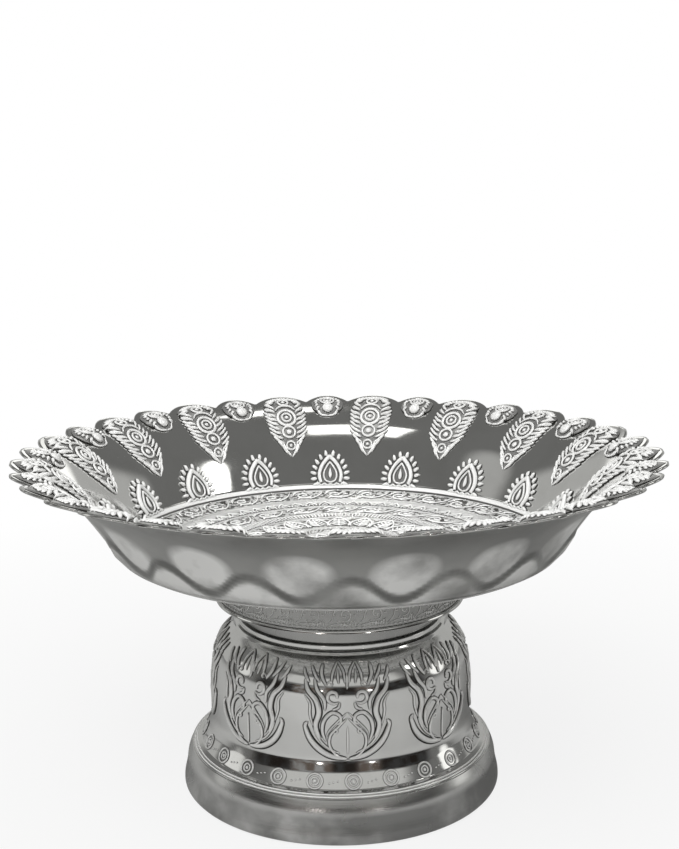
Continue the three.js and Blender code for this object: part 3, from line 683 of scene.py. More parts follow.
# %% Bowl wall
INNER_ROWS, OUTER_ROWS, STEPS = 46, 52, 52
ARCH_MIDDLE, ARCH_SWING, ARCH_EDGE = 8.9, 5.2, 1.4
OVAL_UP, OVAL_WIDE, OVAL_TALL, OVAL_DEEP = 16.0, 11.0, 10.5, 0.6
shares = np.concatenate([np.linspace(0, 1, INNER_ROWS), [1, 1], np.linspace(1, 0, OUTER_ROWS)])
beyond = np.concatenate([np.zeros(INNER_ROWS), [0.35, 0.35], np.zeros(OUTER_ROWS)])
lifts = np.concatenate([np.zeros(INNER_ROWS), [-0.25, -0.75], np.full(OUTER_ROWS, -SHEET)])
start_profile = [
    (WALL_FOOT[0] + s * (RIM_RADIUS - WALL_FOOT[0]) + b, WALL_FOOT[1] + 20 * s + lift)
    for s, b, lift in zip(shares, beyond, lifts)
]
layers = {"share": shares, "beyond": beyond, "lift": lifts}
bm = turned(start_profile, PETALS, STEPS, layers)
co = np.array([vert.co for vert in bm.verts])
angle = np.arctan2(co[:, 0], -co[:, 1])
held = [bm.verts.layers.float[name] for name in layers]
share, past, lift = (np.array([vert[layer] for vert in bm.verts]) for layer in held)
tip_radius = WALL_FOOT[0] + share * (RIM_RADIUS - WALL_FOOT[0])
ease = np.clip((tip_radius - (RIM_RADIUS - SCALLOP_REACH)) / SCALLOP_REACH, 0, 1)
radius = tip_radius - ease * (RIM_RADIUS - rim_radius(angle - LOBE_TURN))
phase = (angle - LOBE_TURN) / PERIOD
phase = phase - np.round(phase)
reached = wall.along_at(radius)
swing = ARCH_MIDDLE + ARCH_SWING * np.cos(phase * FULL_TURN)
far = np.hypot((np.abs(phase) - 0.5) * PERIOD * radius / OVAL_WIDE, (reached - OVAL_UP) / OVAL_TALL)
arch = 0.5 * np.tanh((swing - reached) / ARCH_EDGE)
oval = OVAL_DEEP * np.clip(1 - far**2, 0, 1) ** 0.6
backside = np.clip(-lift / SHEET, 0, 1) * np.clip(share / 0.06, 0, 1) * np.clip((1 - share) / 0.25, 0, 1)
lift = lift - backside * (0.6 + arch + oval)
# Painted reflection in the colour of the back: pale panels inside the arches and ovals, and a dark line along
# each arch.
tone = np.maximum(0.9 * np.clip((swing - 1.2 - reached) / 2.4, 0, 1), 0.9 * np.clip((1.15 - far) / 0.4, 0, 1))
tone -= np.clip((2.3 - np.abs(reached - swing)) / 1.7, 0, 1) * (1 + tone)
tone_layer = bm.verts.layers.float.new("tone")
places = wall.place(0, reached + past, lift, angle)
for vert, place, value in zip(bm.verts, places.tolist(), tone.tolist()):
    vert.co = place
    vert[tone_layer] = value
bowl_wall = piece(bm, "bowl_wall", mirror, "bowl")


# %% The dull back of the wall gets its own finish
def dull_faces(made, material, choose):
    """A second material on the faces that choose(centres, normals) picks."""
    made.data.materials.append(material)
    count = len(made.data.polygons)
    rows = np.empty(3 * count), np.empty(3 * count)
    made.data.polygons.foreach_get("center", rows[0])
    made.data.polygons.foreach_get("normal", rows[1])
    chosen = choose(rows[0].reshape(-1, 3), rows[1].reshape(-1, 3))
    made.data.polygons.foreach_set("material_index", chosen.astype(np.int32))
    print("dull faces", int(chosen.sum()))


dull_faces(bowl_wall, under_dull, lambda centre, normal: normal[:, 2] < -0.15)

# %% [markdown]
# ## Feathers, buds and drops
# Seventeen feathers reach down from the wide lobes, a bud sits in each narrow lobe, and a drop
# stands on the foot of the wall below each bud. Each is a low pad under painted shade, with separate
# raised barbs and ringed eyes, drawn once and repeated. Barbs as closed grains catch the light the way the
# photograph shows: a white back, and a dark gap between neighbours. A painted highlight on the backs
# and painted shade in the gaps add to that.

# %% What stays inside a lobe
EDGE_RADIUS = RIM_RADIUS - 0.9
WALL_END = wall.along_at(EDGE_RADIUS)
FAN_SIDE_GAP, FAN_END_GAP = 3.2, 2.6


def dome(across, half):
    return np.clip(1 - (across / np.maximum(half, 0.05)) ** 2, 0, 1) ** 0.4


def edge_fall(along, reach=8.0):
    """1 inside a lobe, falling to 0.15 at its plain border."""
    return 0.15 + 0.85 * np.clip((WALL_END - 1.0 - along) / reach, 0, 1) ** 0.8


def lobe_half_width(along, share):
    """Half the width of a lobe at a distance along the wall."""
    radius = np.interp(along, wall.along, wall.radius)
    depth = np.clip((EDGE_RADIUS - radius) / NOTCH_DEPTH, 0, 1)
    return 2 / math.pi * np.arccos((1 - depth) ** (1 / ROUNDNESS)) * share * PERIOD * radius


def fan(motif, centre, turns, inner, outer, width, height, share):
    """Short strokes round a centre, cut off where they come near the edge of the lobe."""
    reach = np.linspace(inner, outer, 30)
    for turn in np.radians(turns):
        aim = np.array([math.sin(turn), math.cos(turn)])
        aside, ahead = ((0, centre) + reach[:, None] * aim).T
        limit = lobe_half_width(ahead, share) - FAN_SIDE_GAP
        inside = (np.abs(aside) < limit) & (ahead < WALL_END - FAN_END_GAP)
        path = (0, centre) + np.linspace(inner, reach[max(inside.sum() - 1, 6)], 6)[:, None] * aim
        motif.stroke(path, width * ends(6, 0.45), height * ends(6, 0.4) * edge_fall(path[:, 1]))


print("wall ends", round(WALL_END, 1), "mm along")

# %% Feather
FEATHER_START = 14.0
# Painted shade laid over the pads of feathers and buds.
PAD_SHADE = 0.7
BARBS, BARB_STEP = 11, 2.35
EYE_RINGS = (  # along, radius, points, width, height
    (19.4, 1.9, 22, 0.85, 0.8), (26.0, 2.8, 22, 1.0, 0.8), (33.5, 4.0, 22, 1.3, 0.8), (43.2, 2.3, 22, 1.0, 0.8),
    (33.5, 2.1, 18, 0.9, 0.9),
)
EYE_DOTS = ((26.0, 1.35, 1.0), (33.5, 0.9, 1.0), (43.2, 1.0, 1.0), (19.4, 0.75, 0.9))


def border(along):
    """The plain border beside a feather gets wider inside the lobe."""
    return 1.2 + 1.8 * np.clip((along - 39) / 5, 0, 1)


def feather_half(along):
    shape = np.interp(along, (14, 17, 20, 24, 30, 38, 52), (0, 1.8, 3.1, 4.4, 5.8, 7.6, 10.6))
    return np.minimum(shape, np.maximum(lobe_half_width(along, FEATHER_SHARE) - border(along), 0.02))


def feather_base(across, along):
    rise = np.clip((along - FEATHER_START) / 9, 0, 1) * (1 + 1.4 * np.clip((along - 30) / 9, 0, 1))
    return 0.9 * dome(across, feather_half(along)) * rise * edge_fall(along)


feather = Motif(wall, LOBE_TURN, feather_base)
feather.pad(eased(FEATHER_START, WALL_END, 32), feather_half, PAD_SHADE)
for side in (1, -1):
    for k in range(BARBS):
        root = 15.6 + BARB_STEP * k
        tip = root + 4.6 + 0.06 * k
        inner = min(1.6 + 0.34 * k, 4.4)
        outer = np.interp(tip, (20, 22, 24, 27, 31, 36, 46), (3.6, 5.2, 6.9, 8.8, 10.5, 11.7, 12.0))
        outer = min(outer, lobe_half_width(tip, FEATHER_SHARE) - border(tip))
        points = [(inner, root), (0.5 * (inner + outer), root + 1.9), (outer, tip)]
        feather.sweep(points, 8, 1.2 * ends(8, 0.4, 0.2), 1.1 * ends(8, 0.35, 0.2), side)
    feather.sweep([(3.2, 21.4), (2.3, 17.6), (0, 14.2)], 8, 1.1 * ends(8, 0.4), 0.8 * ends(8, 0.4), side)
for eye_ring in EYE_RINGS:
    feather.ring(*eye_ring)
for along, radius, height in EYE_DOTS:
    feather.dot(0, along, radius, height)
feather.sweep([(-4.6, 37.5), (-2.6, 39.6), (0, 40.2), (2.6, 39.6), (4.6, 37.5)], 16, 1.0 * ends(16, 0.3), 0.9)
FEATHER_FAN = (-80, -62, -46, -31, -18, -6, 6, 18, 31, 46, 62, 80)
fan(feather, 42.0, FEATHER_FAN, 4.3, 10.4, 1.7, 1.6, FEATHER_SHARE)
feather.stamp(PETALS, "bowl_feathers", stamped, "bowl")

# %% Bud
BUD_START = 35.0
BUD_EYE = 44.6
BUD_TURN = LOBE_TURN + PERIOD / 2
BUD_BORDER = 2.0


def bud_half(along):
    shape = 7.3 * np.sin(math.pi / 2 * np.clip((along - BUD_START) / 7.5, 0, 1)) ** 0.8
    return np.minimum(shape, np.maximum(lobe_half_width(along, BUD_SHARE) - BUD_BORDER, 0.02))


def bud_base(across, along):
    return 1.8 * dome(across, bud_half(along)) * np.clip((along - BUD_START) / 4, 0, 1) * edge_fall(along)


bud = Motif(wall, BUD_TURN, bud_base)
bud.pad(eased(BUD_START, WALL_END, 22), bud_half, PAD_SHADE)
bud.ring(BUD_EYE, 2.9, 24, 0.9, 0.9)
bud.ring(BUD_EYE, 1.6, 18, 0.7, 0.9)
bud.dot(0, BUD_EYE, 0.7, 0.8)
bud.dot(0, 39.2, 2.7, 1.5)
BUD_FAN = (-128, -108, -88, -68, -49, -31, -15, 0, 15, 31, 49, 68, 88, 108, 128)
fan(bud, 42.6, BUD_FAN, 4.4, 6.9, 1.3, 1.2, BUD_SHARE)
for side in (1, -1):
    bud.sweep([(4.6, 38.4), (2.9, 36.0), (0, 35.0)], 9, 1.0 * ends(9, 0.3, -0.2), 0.8, side)
bud.stamp(PETALS, "bowl_buds", stamped, "bowl")

# %% Drop
DROP_HEIGHT = 15.0
# Painted shade laid over the pad of the drop.
DROP_SHADE = 0.74
GRAINS = ((6.2, 1.2), (7.0, 3.6), (7.1, 6.1), (6.5, 8.6), (5.5, 11.0), (3.9, 13.2), (1.6, 14.9))


def drop_half(along):
    share = np.clip(along / DROP_HEIGHT, 0, 1)
    return 6.2 * np.minimum(1, 0.75 + 2.2 * share) * np.clip(1 - share**2.2, 0, 1) ** 0.8


def drop_base(across, along):
    return 0.9 * dome(across, drop_half(along)) * np.minimum(1, 0.4 + 0.3 * np.maximum(along, 0))


drop = Motif(wall, BUD_TURN, drop_base)
drop.pad(np.linspace(0.3, DROP_HEIGHT, 22), drop_half, DROP_SHADE)
for side in (1, -1):
    for across, along in GRAINS:
        out = np.array([across * 0.9, along - 3.4])
        out /= np.linalg.norm(out)
        path = (across, along) + np.linspace(-1.4, 2.0, 6)[:, None] * out
        path[:, 1] = np.maximum(path[:, 1], 0.5)
        drop.stroke(path * (side, 1), 1.6 * ends(6, 0.5, -0.25), 1.3 * ends(6, 0.45))
    outline = [(4.2, 1.6), (4.9, 5.0), (4.0, 8.6), (1.9, 11.7), (0, 13.6)]
    drop.sweep(outline, 16, 2.0 * np.linspace(0.75, 1, 16), 1.2, side)
    drop.sweep([(0, 1.6), (2.0, 2.4), (2.9, 5.2), (1.6, 8.6), (0, 10.9)], 16, 0.85, 0.9, side)
    drop.sweep([(5.4, 1.4), (4.2, 0.5), (2.8, 1.2), (1.4, 0.4), (0, 1.0)], 12, 0.9, 0.9, side)
drop.upright(3.4, 8.2, 8, 1.7 * ends(8, 0.8, -0.3), 1.0)
drop.stamp(PETALS, "bowl_drops", stamped, "bowl")

# %% [markdown]
# ## Bowl floor
# The floor is flat mirror with low round ridges, and between them rings of stamped ornament:
# pointed leaves, scrolls, a hatched ring, a ring of plumes, a stippled ring and a star flower.
# The ledge that rises to the wall carries scrolls too. The plate is turned with its ridges in the
# profile, and each ring of ornament is one motif repeated round the axis.

# %% Floor plate
RIVET_HOLE = 2.4
RIDGES = (26.0, 41.5, 48.0, 60.0)
RIDGE_HALF, RIDGE_HEIGHT, GROOVE_DEPTH = 0.7, 0.45, 0.25
GRAIN_ZONES = ((0, 17.5), (19.4, 25.4), (26.7, 41), (42, 47.4), (48.6, 59.4), (60.6, 66.4), (71.2, 81))
corners = [(RIVET_HOLE, 0, 0)]
corners += [(17.6, 0, 0.2), (18.1, -GROOVE_DEPTH, 0.15), (19.0, -GROOVE_DEPTH, 0.15), (19.4, 0, 0.2)]
for ridge in RIDGES:
    corners += [(ridge - RIDGE_HALF, 0, 0.2), (ridge, RIDGE_HEIGHT, 0.3), (ridge + RIDGE_HALF, 0, 0.2)]
corners += [
    (LEDGE_RADIUS - 0.5, 0, 0.2), (LEDGE_RADIUS - 0.1, -0.2, 0.1), (LEDGE_RADIUS + 0.3, 0.4, 0.2),
    (78.5, 1.2, 0.8), (81.5, 2.3, 0.5), (WALL_FOOT[0], WALL_FOOT[1] - FLOOR_TOP, 0),
]
floor_top_line = rounded(corners, step=1.5, origin=(0, FLOOR_TOP))
floor_line = np.vstack([floor_top_line, floor_top_line[::-6] - (0, SHEET)])
radii = floor_line[:, 0]
grain = np.max([np.clip(np.minimum(radii - a, b - radii) / 0.5, 0, 1) for a, b in GRAIN_ZONES], axis=0)
piece(turned(floor_line, 24, 10, {"grain": grain}), "bowl_floor", floor_mirror, "bowl")
floor_skin = Skin(floor_top_line, side=1)


def floor_along(radius):
    return float(floor_skin.along_at(radius))


# %% Leaves and scrolls on the floor
LEAVES = 66
SCROLL_RINGS = (  # name, inner, outer and drawing radius, copies
    ("floor_scroll_ring", 48.9, 59.2, 54, 22), ("ledge_scroll_ring", 71.6, 81.0, 76, 34),
)
leaf = Motif(floor_skin, start=floor_along(60.9))
for side in (1, -1):
    leaf.sweep([(2.2, 0), (2.35, 2.2), (1.2, 4.4), (0, 6.4)], 9, 0.75, 0.5, side)
    leaf.sweep([(0.9, 0.3), (0.9, 2.0), (0, 3.9)], 6, 0.45, 0.35, side)
leaf.stamp(LEAVES, "floor_leaf_ring", engraved, "bowl")

for name, inner, outer, drawn_at, copies in SCROLL_RINGS:
    low, high = floor_along(inner), floor_along(outer)
    tall, middle = high - low, (low + high) / 2
    wide = FULL_TURN * drawn_at / copies
    heart = (0.1 * wide, middle)
    scroll = Motif(floor_skin)
    scroll.stroke(spiral(heart, 0.36 * tall, 0.06 * tall, 200, 1.35, 22), 0.75, 0.5)
    stem = [(-0.55 * wide, high - 0.1 * tall), (-0.4 * wide, middle), (-0.12 * wide, low + 0.14 * tall)]
    scroll.sweep([*stem, (0.3 * wide, low + 0.2 * tall)], 14, 0.75 * ends(14, 0.3), 0.5)
    stem = [(0.1 * wide, high - 0.06 * tall), (0.34 * wide, high - 0.16 * tall), (0.45 * wide, middle)]
    scroll.sweep(stem, 10, 0.9 * ends(10, 0.5), 0.5)
    for lean in np.radians(35 + 68 * np.arange(5)):
        path = heart + np.linspace(0.40, 0.57, 5)[:, None] * tall * (math.cos(lean), math.sin(lean))
        path[:, 1] = np.clip(path[:, 1], low + 0.4, high - 0.4)
        scroll.stroke(path, 1.0 * ends(5), 0.5)
    scroll.dot(*heart, 0.07 * tall, 0.5, finer=1)
    scroll.stamp(copies, name, engraved, "bowl")

# %% Hatching, plumes and stipple on the floor
HATCHES, PLUMES, STIPPLES = 200, 22, 84
hatch = Motif(floor_skin)
hatch.upright(floor_along(42.5), floor_along(47.0), 4, 0.75, 0.35, back=BLADE_BACK)
hatch.stamp(HATCHES, "floor_hatched_ring", engraved, "bowl")

plume = Motif(floor_skin, start=floor_along(27.2))
tall = floor_along(40.6) - plume.start
for side in (1, -1):
    plume.sweep([(3.4, 0.3), (4.3, 5.5), (2.6, 10), (0, tall - 0.2)], 14, 0.7, 0.5, side)
    for k in range(4):
        root = 1.6 + 2.4 * k
        points = [(0, root), (1.6, root + 0.9), (3.2 - 0.45 * k, root + 2.6)]
        plume.sweep(points, 7, 0.8 * ends(7, 0.4), 0.5, side)
plume.upright(0.3, tall - 1.2, 9, 0.7 * ends(9, 0.3), 0.55)
plume.stamp(PLUMES, "floor_plume_ring", engraved, "bowl")

stipple = Motif(floor_skin)
for row in range(4):
    stipple.dot(0.8 * (row % 2), floor_along(20.6 + 1.4 * row), 0.5, 0.3, finer=1)
stipple.stamp(STIPPLES, "floor_stippled_ring", engraved, "bowl")

# %% Star flower in the middle of the floor
STAR_PETALS = 12
star = Motif(floor_skin, start=-RIVET_HOLE)
for side in (1, -1):
    star.sweep([(0.9, 4.6), (3.0, 9.5), (2.5, 13.2), (0, 17.2)], 14, 0.75, 0.55, side)
    star.sweep([(0.5, 5.2), (1.6, 9.2), (1.2, 11.8), (0, 14.0)], 10, 0.6, 0.45, side)
star.upright(6, 11.5, 7, 0.7 * ends(7), 0.6)
star.stamp(STAR_PETALS, "floor_star_flower", engraved, "bowl")

sepals = Motif(floor_skin, FULL_TURN / (2 * STAR_PETALS), start=-RIVET_HOLE)
for side in (1, -1):
    sepals.sweep([(0.3, 9.0), (1.7, 12.2), (0, 15.6)], 9, 0.65, 0.5, side)
sepals.stamp(STAR_PETALS, "floor_star_sepals", engraved, "bowl")

# %% A bead at the foot of the wall: a painted white highlight over a strip of painted shade
foot_corners = [(81.1, 2.0, 0), (81.5, 3.2, 0.4), (82.5, 3.9, 0.4), (83.7, 4.1, 0.3), (83.6, 2.6, 0)]
foot_line = rounded(foot_corners, step=0.2, origin=(0, FLOOR_TOP))
# The corner strip below the bead gets painted shade through its recess value, and the bead's top gets the painted
# white highlight.
dark = 0.8 * np.clip((FLOOR_TOP + 3.2 - foot_line[:, 1]) / 0.4, 0, 1)
piece(turned(foot_line, 17, 12, {"recess": dark}), "bowl_foot_line", stamped, "bowl")

# %% [markdown]
# ## Collar
# A shallow engraved cap joins the bowl to the neck. Only its skirt shows, and the thin bright edge
# below it, which is a ring of its own here so that it can be mirror beside the satin skirt.
# The engraving is shallow, so its marks are low and fine.

# %% Collar
collar_corner = np.array([COLLAR_RADIUS, COLLAR_LOW])
DEEP = COLLAR_TOP - COLLAR_LOW
collar_outer = rounded(
    [
        (4.0 - COLLAR_RADIUS, DEEP, 0), (-3.2, DEEP, 0.6), (-2.1, DEEP - 1.2, 0.4), (-1.0, 1.5, 0.3),
        (-1.15, 1.0, 0.1), (-0.1, 0.75, 0.1), (0, 0.3, 0.1), (-0.7, 0.05, 0),
    ],
    step=1.5,
    origin=collar_corner,
)
collar_inner = collar_corner + [(-2.2, 0.3), (-3.4, DEEP - 2.2), (4.0 - COLLAR_RADIUS, DEEP - 1.1)]
piece(turned(np.vstack([collar_outer, collar_inner]), 24, 12), "collar_cap", collar_satin, "collar")
edge_corners = [(-0.8, 1.3, 0), (-0.15, 0.95, 0.1), (0.02, 0.55, 0.05)]
edge_corners += [(0.14, 0.1, 0.1), (-0.1, 0, 0.05), (-0.8, 0.2, 0)]
edge_line = rounded(edge_corners, step=0.2, origin=collar_corner)
piece(turned(edge_line, 24, 12), "collar_edge", mirror, "collar")

# %% Engraving of the collar
SKIRT_UNITS, SKIRT_BEADS = 26, 144
LINE_WIDE, LINE_TALL = 0.42, 0.16
skirt = Skin(collar_corner + [(-1.0, 1.7), (-2.1, DEEP - 1.2)], side=-1)
unit = FULL_TURN * (COLLAR_RADIUS - 1.5) / SKIRT_UNITS
engraving = Motif(skirt)


def engrave(points, count=8):
    """One fine line through points of (share of a unit across, millimetres up the skirt)."""
    engraving.sweep(np.array(points) * (unit, 1), count, LINE_WIDE * ends(count, 0.4), LINE_TALL)


engraving.stroke(spiral((0.16 * unit, 5.2), 2.5, 0.5, 250, 1.3, 18), LINE_WIDE, LINE_TALL)
engrave([(-0.48, 1.3), (-0.28, 3.2), (-0.16, 6.6), (0.08, 8.8)], count=12)
engrave([(-0.4, 1.2), (-0.05, 2.0), (0.3, 1.6), (0.5, 3.4)], count=12)
for k in range(6):
    engrave([(-0.46 + 0.07 * k, 5.4 + 0.2 * k), (-0.44 + 0.07 * k, 7.2), (-0.36 + 0.07 * k, 9.0)])
    engrave([(0.02 + 0.09 * k, 0.9), (0.05 + 0.09 * k, 2.6)], count=5)
for turn in np.radians(np.arange(0, 360, 45)):
    centre, out = np.array([0.16, 5.2]), np.array([math.cos(turn) / unit, math.sin(turn)])
    engrave([centre + 2.9 * out, centre + 3.9 * out], count=4)
engraving.stamp(SKIRT_UNITS, "collar_engraving", engraved, "collar")

beading = Motif(skirt)
for k in range(2):
    beading.turn = FULL_TURN / SKIRT_BEADS * k
    beading.stroke([(-1.1 + x, 0.55) for x in np.linspace(0, 1.6, 4)], 0.5 * ends(4), 0.2)
beading.stamp(SKIRT_BEADS // 2, "collar_beading", engraved, "collar")

# %% [markdown]
# ## Pedestal
# The pedestal is one drawn shell. Its lower band is dull and the rest is polished, so it is turned
# as two bodies that meet at the sharp line under the ledge. The steps of the ledge and the bead at
# the foot of the neck are in the profile, because their thin bright lines are true edges. Two fine
# rings on the ledge are bodies of their own with a painted white highlight, so that they stay white
# whatever the mirror shows.

# %% Pedestal shell
BAND_TOP = 16.4
LEDGE_HIGH = 18.8
FLARE_TOP = 29.0
DRUM_TOP = 55.5
NECK_RADIUS = 37.8
SHOULDER_TOP = 65.3
drum_line = rounded(
    [
        (59.4, BAND_TOP + 0.3, 0), (59.1, LEDGE_HIGH - 1.5, 0.1), (58.5, LEDGE_HIGH - 1.3, 0.1),
        (58.3, LEDGE_HIGH - 0.9, 0.1), (57.7, LEDGE_HIGH - 0.8, 0.1), (57.5, LEDGE_HIGH - 0.3, 0.1),
        (55.6, LEDGE_HIGH + 0.1, 0.4), (52.6, LEDGE_HIGH + 5.6, 0.8), (50.9, FLARE_TOP, 2.0),
        (50.9, DRUM_TOP - 14, 3.0), (49.4, DRUM_TOP, 3.0), (46.6, DRUM_TOP + 5.4, 2.4),
        (43.3, SHOULDER_TOP - 1.0, 1.2), (41.4, SHOULDER_TOP + 0.6, 0.4), (40.8, SHOULDER_TOP + 1.6, 0.3),
        (39.4, SHOULDER_TOP + 2.0, 0.3), (39.4, SHOULDER_TOP + 3.6, 0.4), (NECK_RADIUS, SHOULDER_TOP + 3.9, 0.3),
        (NECK_RADIUS, PEDESTAL_TOP - 1, 0), (NECK_RADIUS - 1, PEDESTAL_TOP, 0),
    ],
    step=1.3,
)
drum_inner = [
    (RIVET_HOLE, PEDESTAL_TOP), (RIVET_HOLE, PEDESTAL_TOP - 1.1), (NECK_RADIUS - 1.1, PEDESTAL_TOP - 1.1),
    (NECK_RADIUS - 1.1, SHOULDER_TOP + 3), (45.2, DRUM_TOP + 4), (48.1, DRUM_TOP), (49.8, FLARE_TOP + 6),
    (49.8, FLARE_TOP), (53.8, LEDGE_HIGH - 0.6), (55.4, LEDGE_HIGH - 2.1), (58.6, BAND_TOP - 1.0),
]
pedestal_drum = piece(turned(np.vstack([drum_line, drum_inner]), 24, 14), "pedestal_drum", mirror, "pedestal")
dull_faces(pedestal_drum, collar_satin, lambda centre, normal: centre[:, 2] > (SHOULDER_TOP + 3.5) * MM)
drum = Skin(drum_line, side=-1)


def drum_along(height):
    return float(np.interp(height, drum.height, drum.along))


# %% Two fine rings on the ledge
LEDGE_LINES = (("pedestal_line_low", 58.5, LEDGE_HIGH - 1.25), ("pedestal_line_high", 57.6, LEDGE_HIGH - 0.6))
WIRE_RADIUS = 0.28
wire_turn = np.linspace(0, FULL_TURN, 13)[:-1]
wire = WIRE_RADIUS * np.stack([np.cos(wire_turn), np.sin(wire_turn)], -1)
for name, radius, height in LEDGE_LINES:
    # Stamped finish without a recess value: each ring is a painted white highlight.
    piece(turned(wire + (radius, height), 24, 12), name, stamped, "pedestal")

# %% Foot band
band_top_corners = [(58.4, BAND_TOP - 0.8, 0), (59.2, BAND_TOP + 0.7, 0.1), (59.6, BAND_TOP + 0.5, 0.1)]
hem_corners = [
    (FOOT_RADIUS - 0.1, 3.4, 1.0), (FOOT_RADIUS, 1.3, 0.6), (FOOT_RADIUS - 1.1, 0.0, 0.5),
    (FOOT_RADIUS - 2.4, 0.0, 0.4), (FOOT_RADIUS - 2.4, 3.1, 0.4), (FOOT_RADIUS - 1.5, 3.7, 0.3),
]
outer_corners = [(61.4, BAND_TOP - 3.4, 2.0), (61.9, 8.6, 2.2)]
inner_corners = [(60.9, 9.0, 2.0), (59.6, BAND_TOP - 2.4, 0)]
band_line = rounded(band_top_corners + outer_corners + hem_corners + inner_corners)
# The band is coloured darker towards the bottom.
tones = -np.clip((12.6 - band_line[:, 1]) / 2.4, 0, 1)
piece(turned(band_line, 24, 14, {"tone": tones}), "pedestal_band", band_dull, "pedestal")

# %% Rosettes on the flare
ROSETTES = 24
ROSETTE_TURN = math.radians(4.6)
seat = 0.5 * (drum_along(LEDGE_HIGH + 0.2) + drum_along(LEDGE_HIGH + 5.6))
rosette = Motif(drum, ROSETTE_TURN, start=seat)
rosette.ring(0, 2.8, 24, 0.75, 0.5)
rosette.ring(0, 1.4, 18, 0.6, 0.45)
rosette.dot(0, 0, 0.75, 0.6)
for step in (-1, 0, 1):
    dash = [(6.9 + 1.5 * step + x, 0.4 * step - 0.3) for x in np.linspace(-0.5, 0.5, 4)]
    rosette.stroke(dash, 0.6 * ends(4), 0.25)
rosette.stamp(ROSETTES, "pedestal_rosettes", drum_stamped, "pedestal")

# %% [markdown]
# ## Flame motif of the drum
# Eight motifs stand round the drum: a boat with curled ends, a pointed leaf in it, curls beside
# the leaf and a crown of flames that climbs over the shoulder. Half of it is drawn and mirrored.
# Paths are a few chosen points, because each stroke is one sweep of the engraver's hand.

# %% Flame motif
MOTIFS = 8
MOTIF_TURN = math.radians(2.7)
GROUND = drum_along(FLARE_TOP) - 0.6
DRUM_BACK = OUTLINED_BACK * np.where(OUTLINED_BACK[:, :1] ** 2 > 0.4, (1.2, 1), (1, 1))
STROKES = [  # points, width, height
    (((0, 0.9), (7.0, 2.6), (12.2, 6.6), (14.8, 11.4), (15.3, 14.4), (14.2, 15.4)), 2.2, 0.9),
    (((2.8, 3.1), (8.0, 6.0), (11.2, 10.2), (12.5, 13.4)), 0.8, 0.5),
    (((0, 0.7), (4.4, 2.8), (6.7, 7.0), (6.3, 10.2), (3.2, 13.8), (0, 17.1)), 1.0, 0.6),
    (((7.9, 9.2), (7.0, 11.6), (3.8, 15.4), (0, 19.2)), 0.7, 0.5),
    (((7.9, 7.6), (9.2, 12.4), (8.0, 16.8), (5.2, 19.0), (2.6, 17.6), (2.7, 15.2), (4.4, 14.4)), 1.4, 0.8),
    (((9.8, 8.4), (11.6, 14.0), (10.3, 19.0), (11.2, 23.4), (14.2, 27.2), (15.0, 31.6)), 2.0, 0.9),
    (((12.6, 13.6), (13.6, 18.6), (13.6, 22.2), (15.6, 25.4)), 0.9, 0.5),
    (((8.1, 19.4), (8.3, 23.6), (10.8, 27.4), (11.6, 31.8)), 1.4, 0.8),
    (((5.6, 19.9), (3.3, 20.9), (2.6, 23.0)), 1.0, 0.6),
    (((5.6, 29.0), (5.1, 33.0), (3.1, 38.4)), 1.0, 0.6),
    (((0.8, 29.6), (1.1, 33.8), (3.1, 38.4)), 1.0, 0.6),
    (((2.9, 29.4), (3.2, 32.0), (3.1, 35.0)), 0.9, 0.5),
    (((7.2, 28.4), (8.9, 32.5), (8.3, 37.6)), 1.3, 0.8),
    (((9.6, 29.8), (11.2, 32.4), (12.4, 36.6)), 1.2, 0.7),
    (((13.4, 29.6), (14.8, 32.4), (15.2, 35.6)), 1.1, 0.7),
]
CURLS = (((5.0, 24.9), 2.7, -140, 1.0), ((4.6, 11.9), 1.1, 60, 0.8), ((6.0, 29.4), 1.1, 0, 0.8))
flames = Motif(drum, MOTIF_TURN, start=GROUND, foot=0.08)
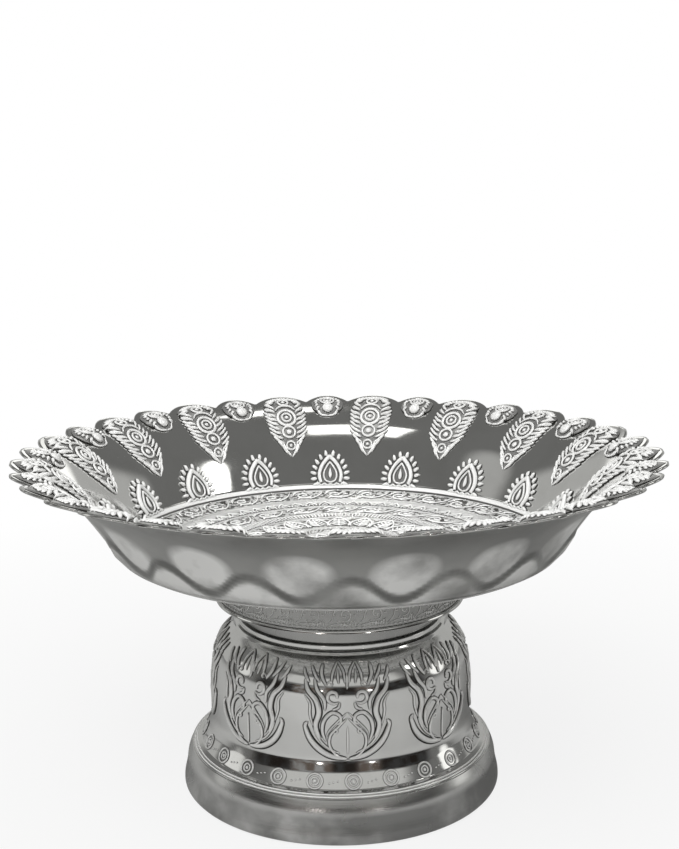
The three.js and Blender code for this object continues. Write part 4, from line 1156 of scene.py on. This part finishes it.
for side in (-1, 1):
    for points, wide, tall in STROKES:
        count = 5 * len(points)
        width, height = 0.95 * wide * ends(count, 0.35), tall * ends(count, 0.3)
        flames.sweep(points, count, width, height, side, back=DRUM_BACK)
    for centre, radius, start, turns in CURLS:
        path = spiral(centre, radius, 0.45 * radius, start, turns, 18) * (side, 1)
        flames.stroke(path, (0.35 + 0.35 * radius) * ends(18, 0.3), 0.6)
flames.upright(1.9, 14.0, 12, 0.8 * ends(12, 0.3), 0.5)
flames.upright(27.5, 33.5, 8, 1.1 * ends(8, 0.6, -0.2), 0.7)
flames.stamp(MOTIFS, "pedestal_flames", drum_stamped, "pedestal")


# %% [markdown]
# ## Rivet and washer
# One rivet holds the three sheets. Its head shows as the plain disc in the middle of the floor, and
# its tail is set over a washer inside the neck. Both are simple turned bodies with eased edges.

# %% Rivet and washer
rivet_low, rivet_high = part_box("centre_rivet")[0].z / MM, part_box("centre_rivet")[1].z / MM
HEAD_RADIUS, TAIL_RADIUS, SHANK_RADIUS = 3.3, 3.6, 2.0
rivet_line = rounded(
    [
        (0.05, rivet_high, 0), (0.6 * HEAD_RADIUS, rivet_high - 0.05, 0.4), (HEAD_RADIUS, FLOOR_TOP + 0.35, 0.3),
        (HEAD_RADIUS, FLOOR_TOP + 0.2, 0), (SHANK_RADIUS, FLOOR_TOP + 0.2, 0), (SHANK_RADIUS, rivet_low + 1.6, 0),
        (TAIL_RADIUS, rivet_low + 1.6, 0.2), (TAIL_RADIUS, rivet_low + 0.8, 0.4),
        (0.6 * TAIL_RADIUS, rivet_low, 0.4), (0.05, rivet_low, 0),
    ],
    step=0.8,
)
piece(turned(rivet_line, 8, 6), "rivet", rivet_metal, "centre_rivet")
washer_low, washer_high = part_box("backing_washer")[0].z / MM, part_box("backing_washer")[1].z / MM
washer_corners = [(RIVET_HOLE, washer_low, 0), (8.0, washer_low, 0.3)]
washer_corners += [(8.0, washer_high, 0.3), (RIVET_HOLE, washer_high, 0)]
piece(turned(rounded(washer_corners, step=1.5), 8, 6), "washer", rivet_metal, "backing_washer")
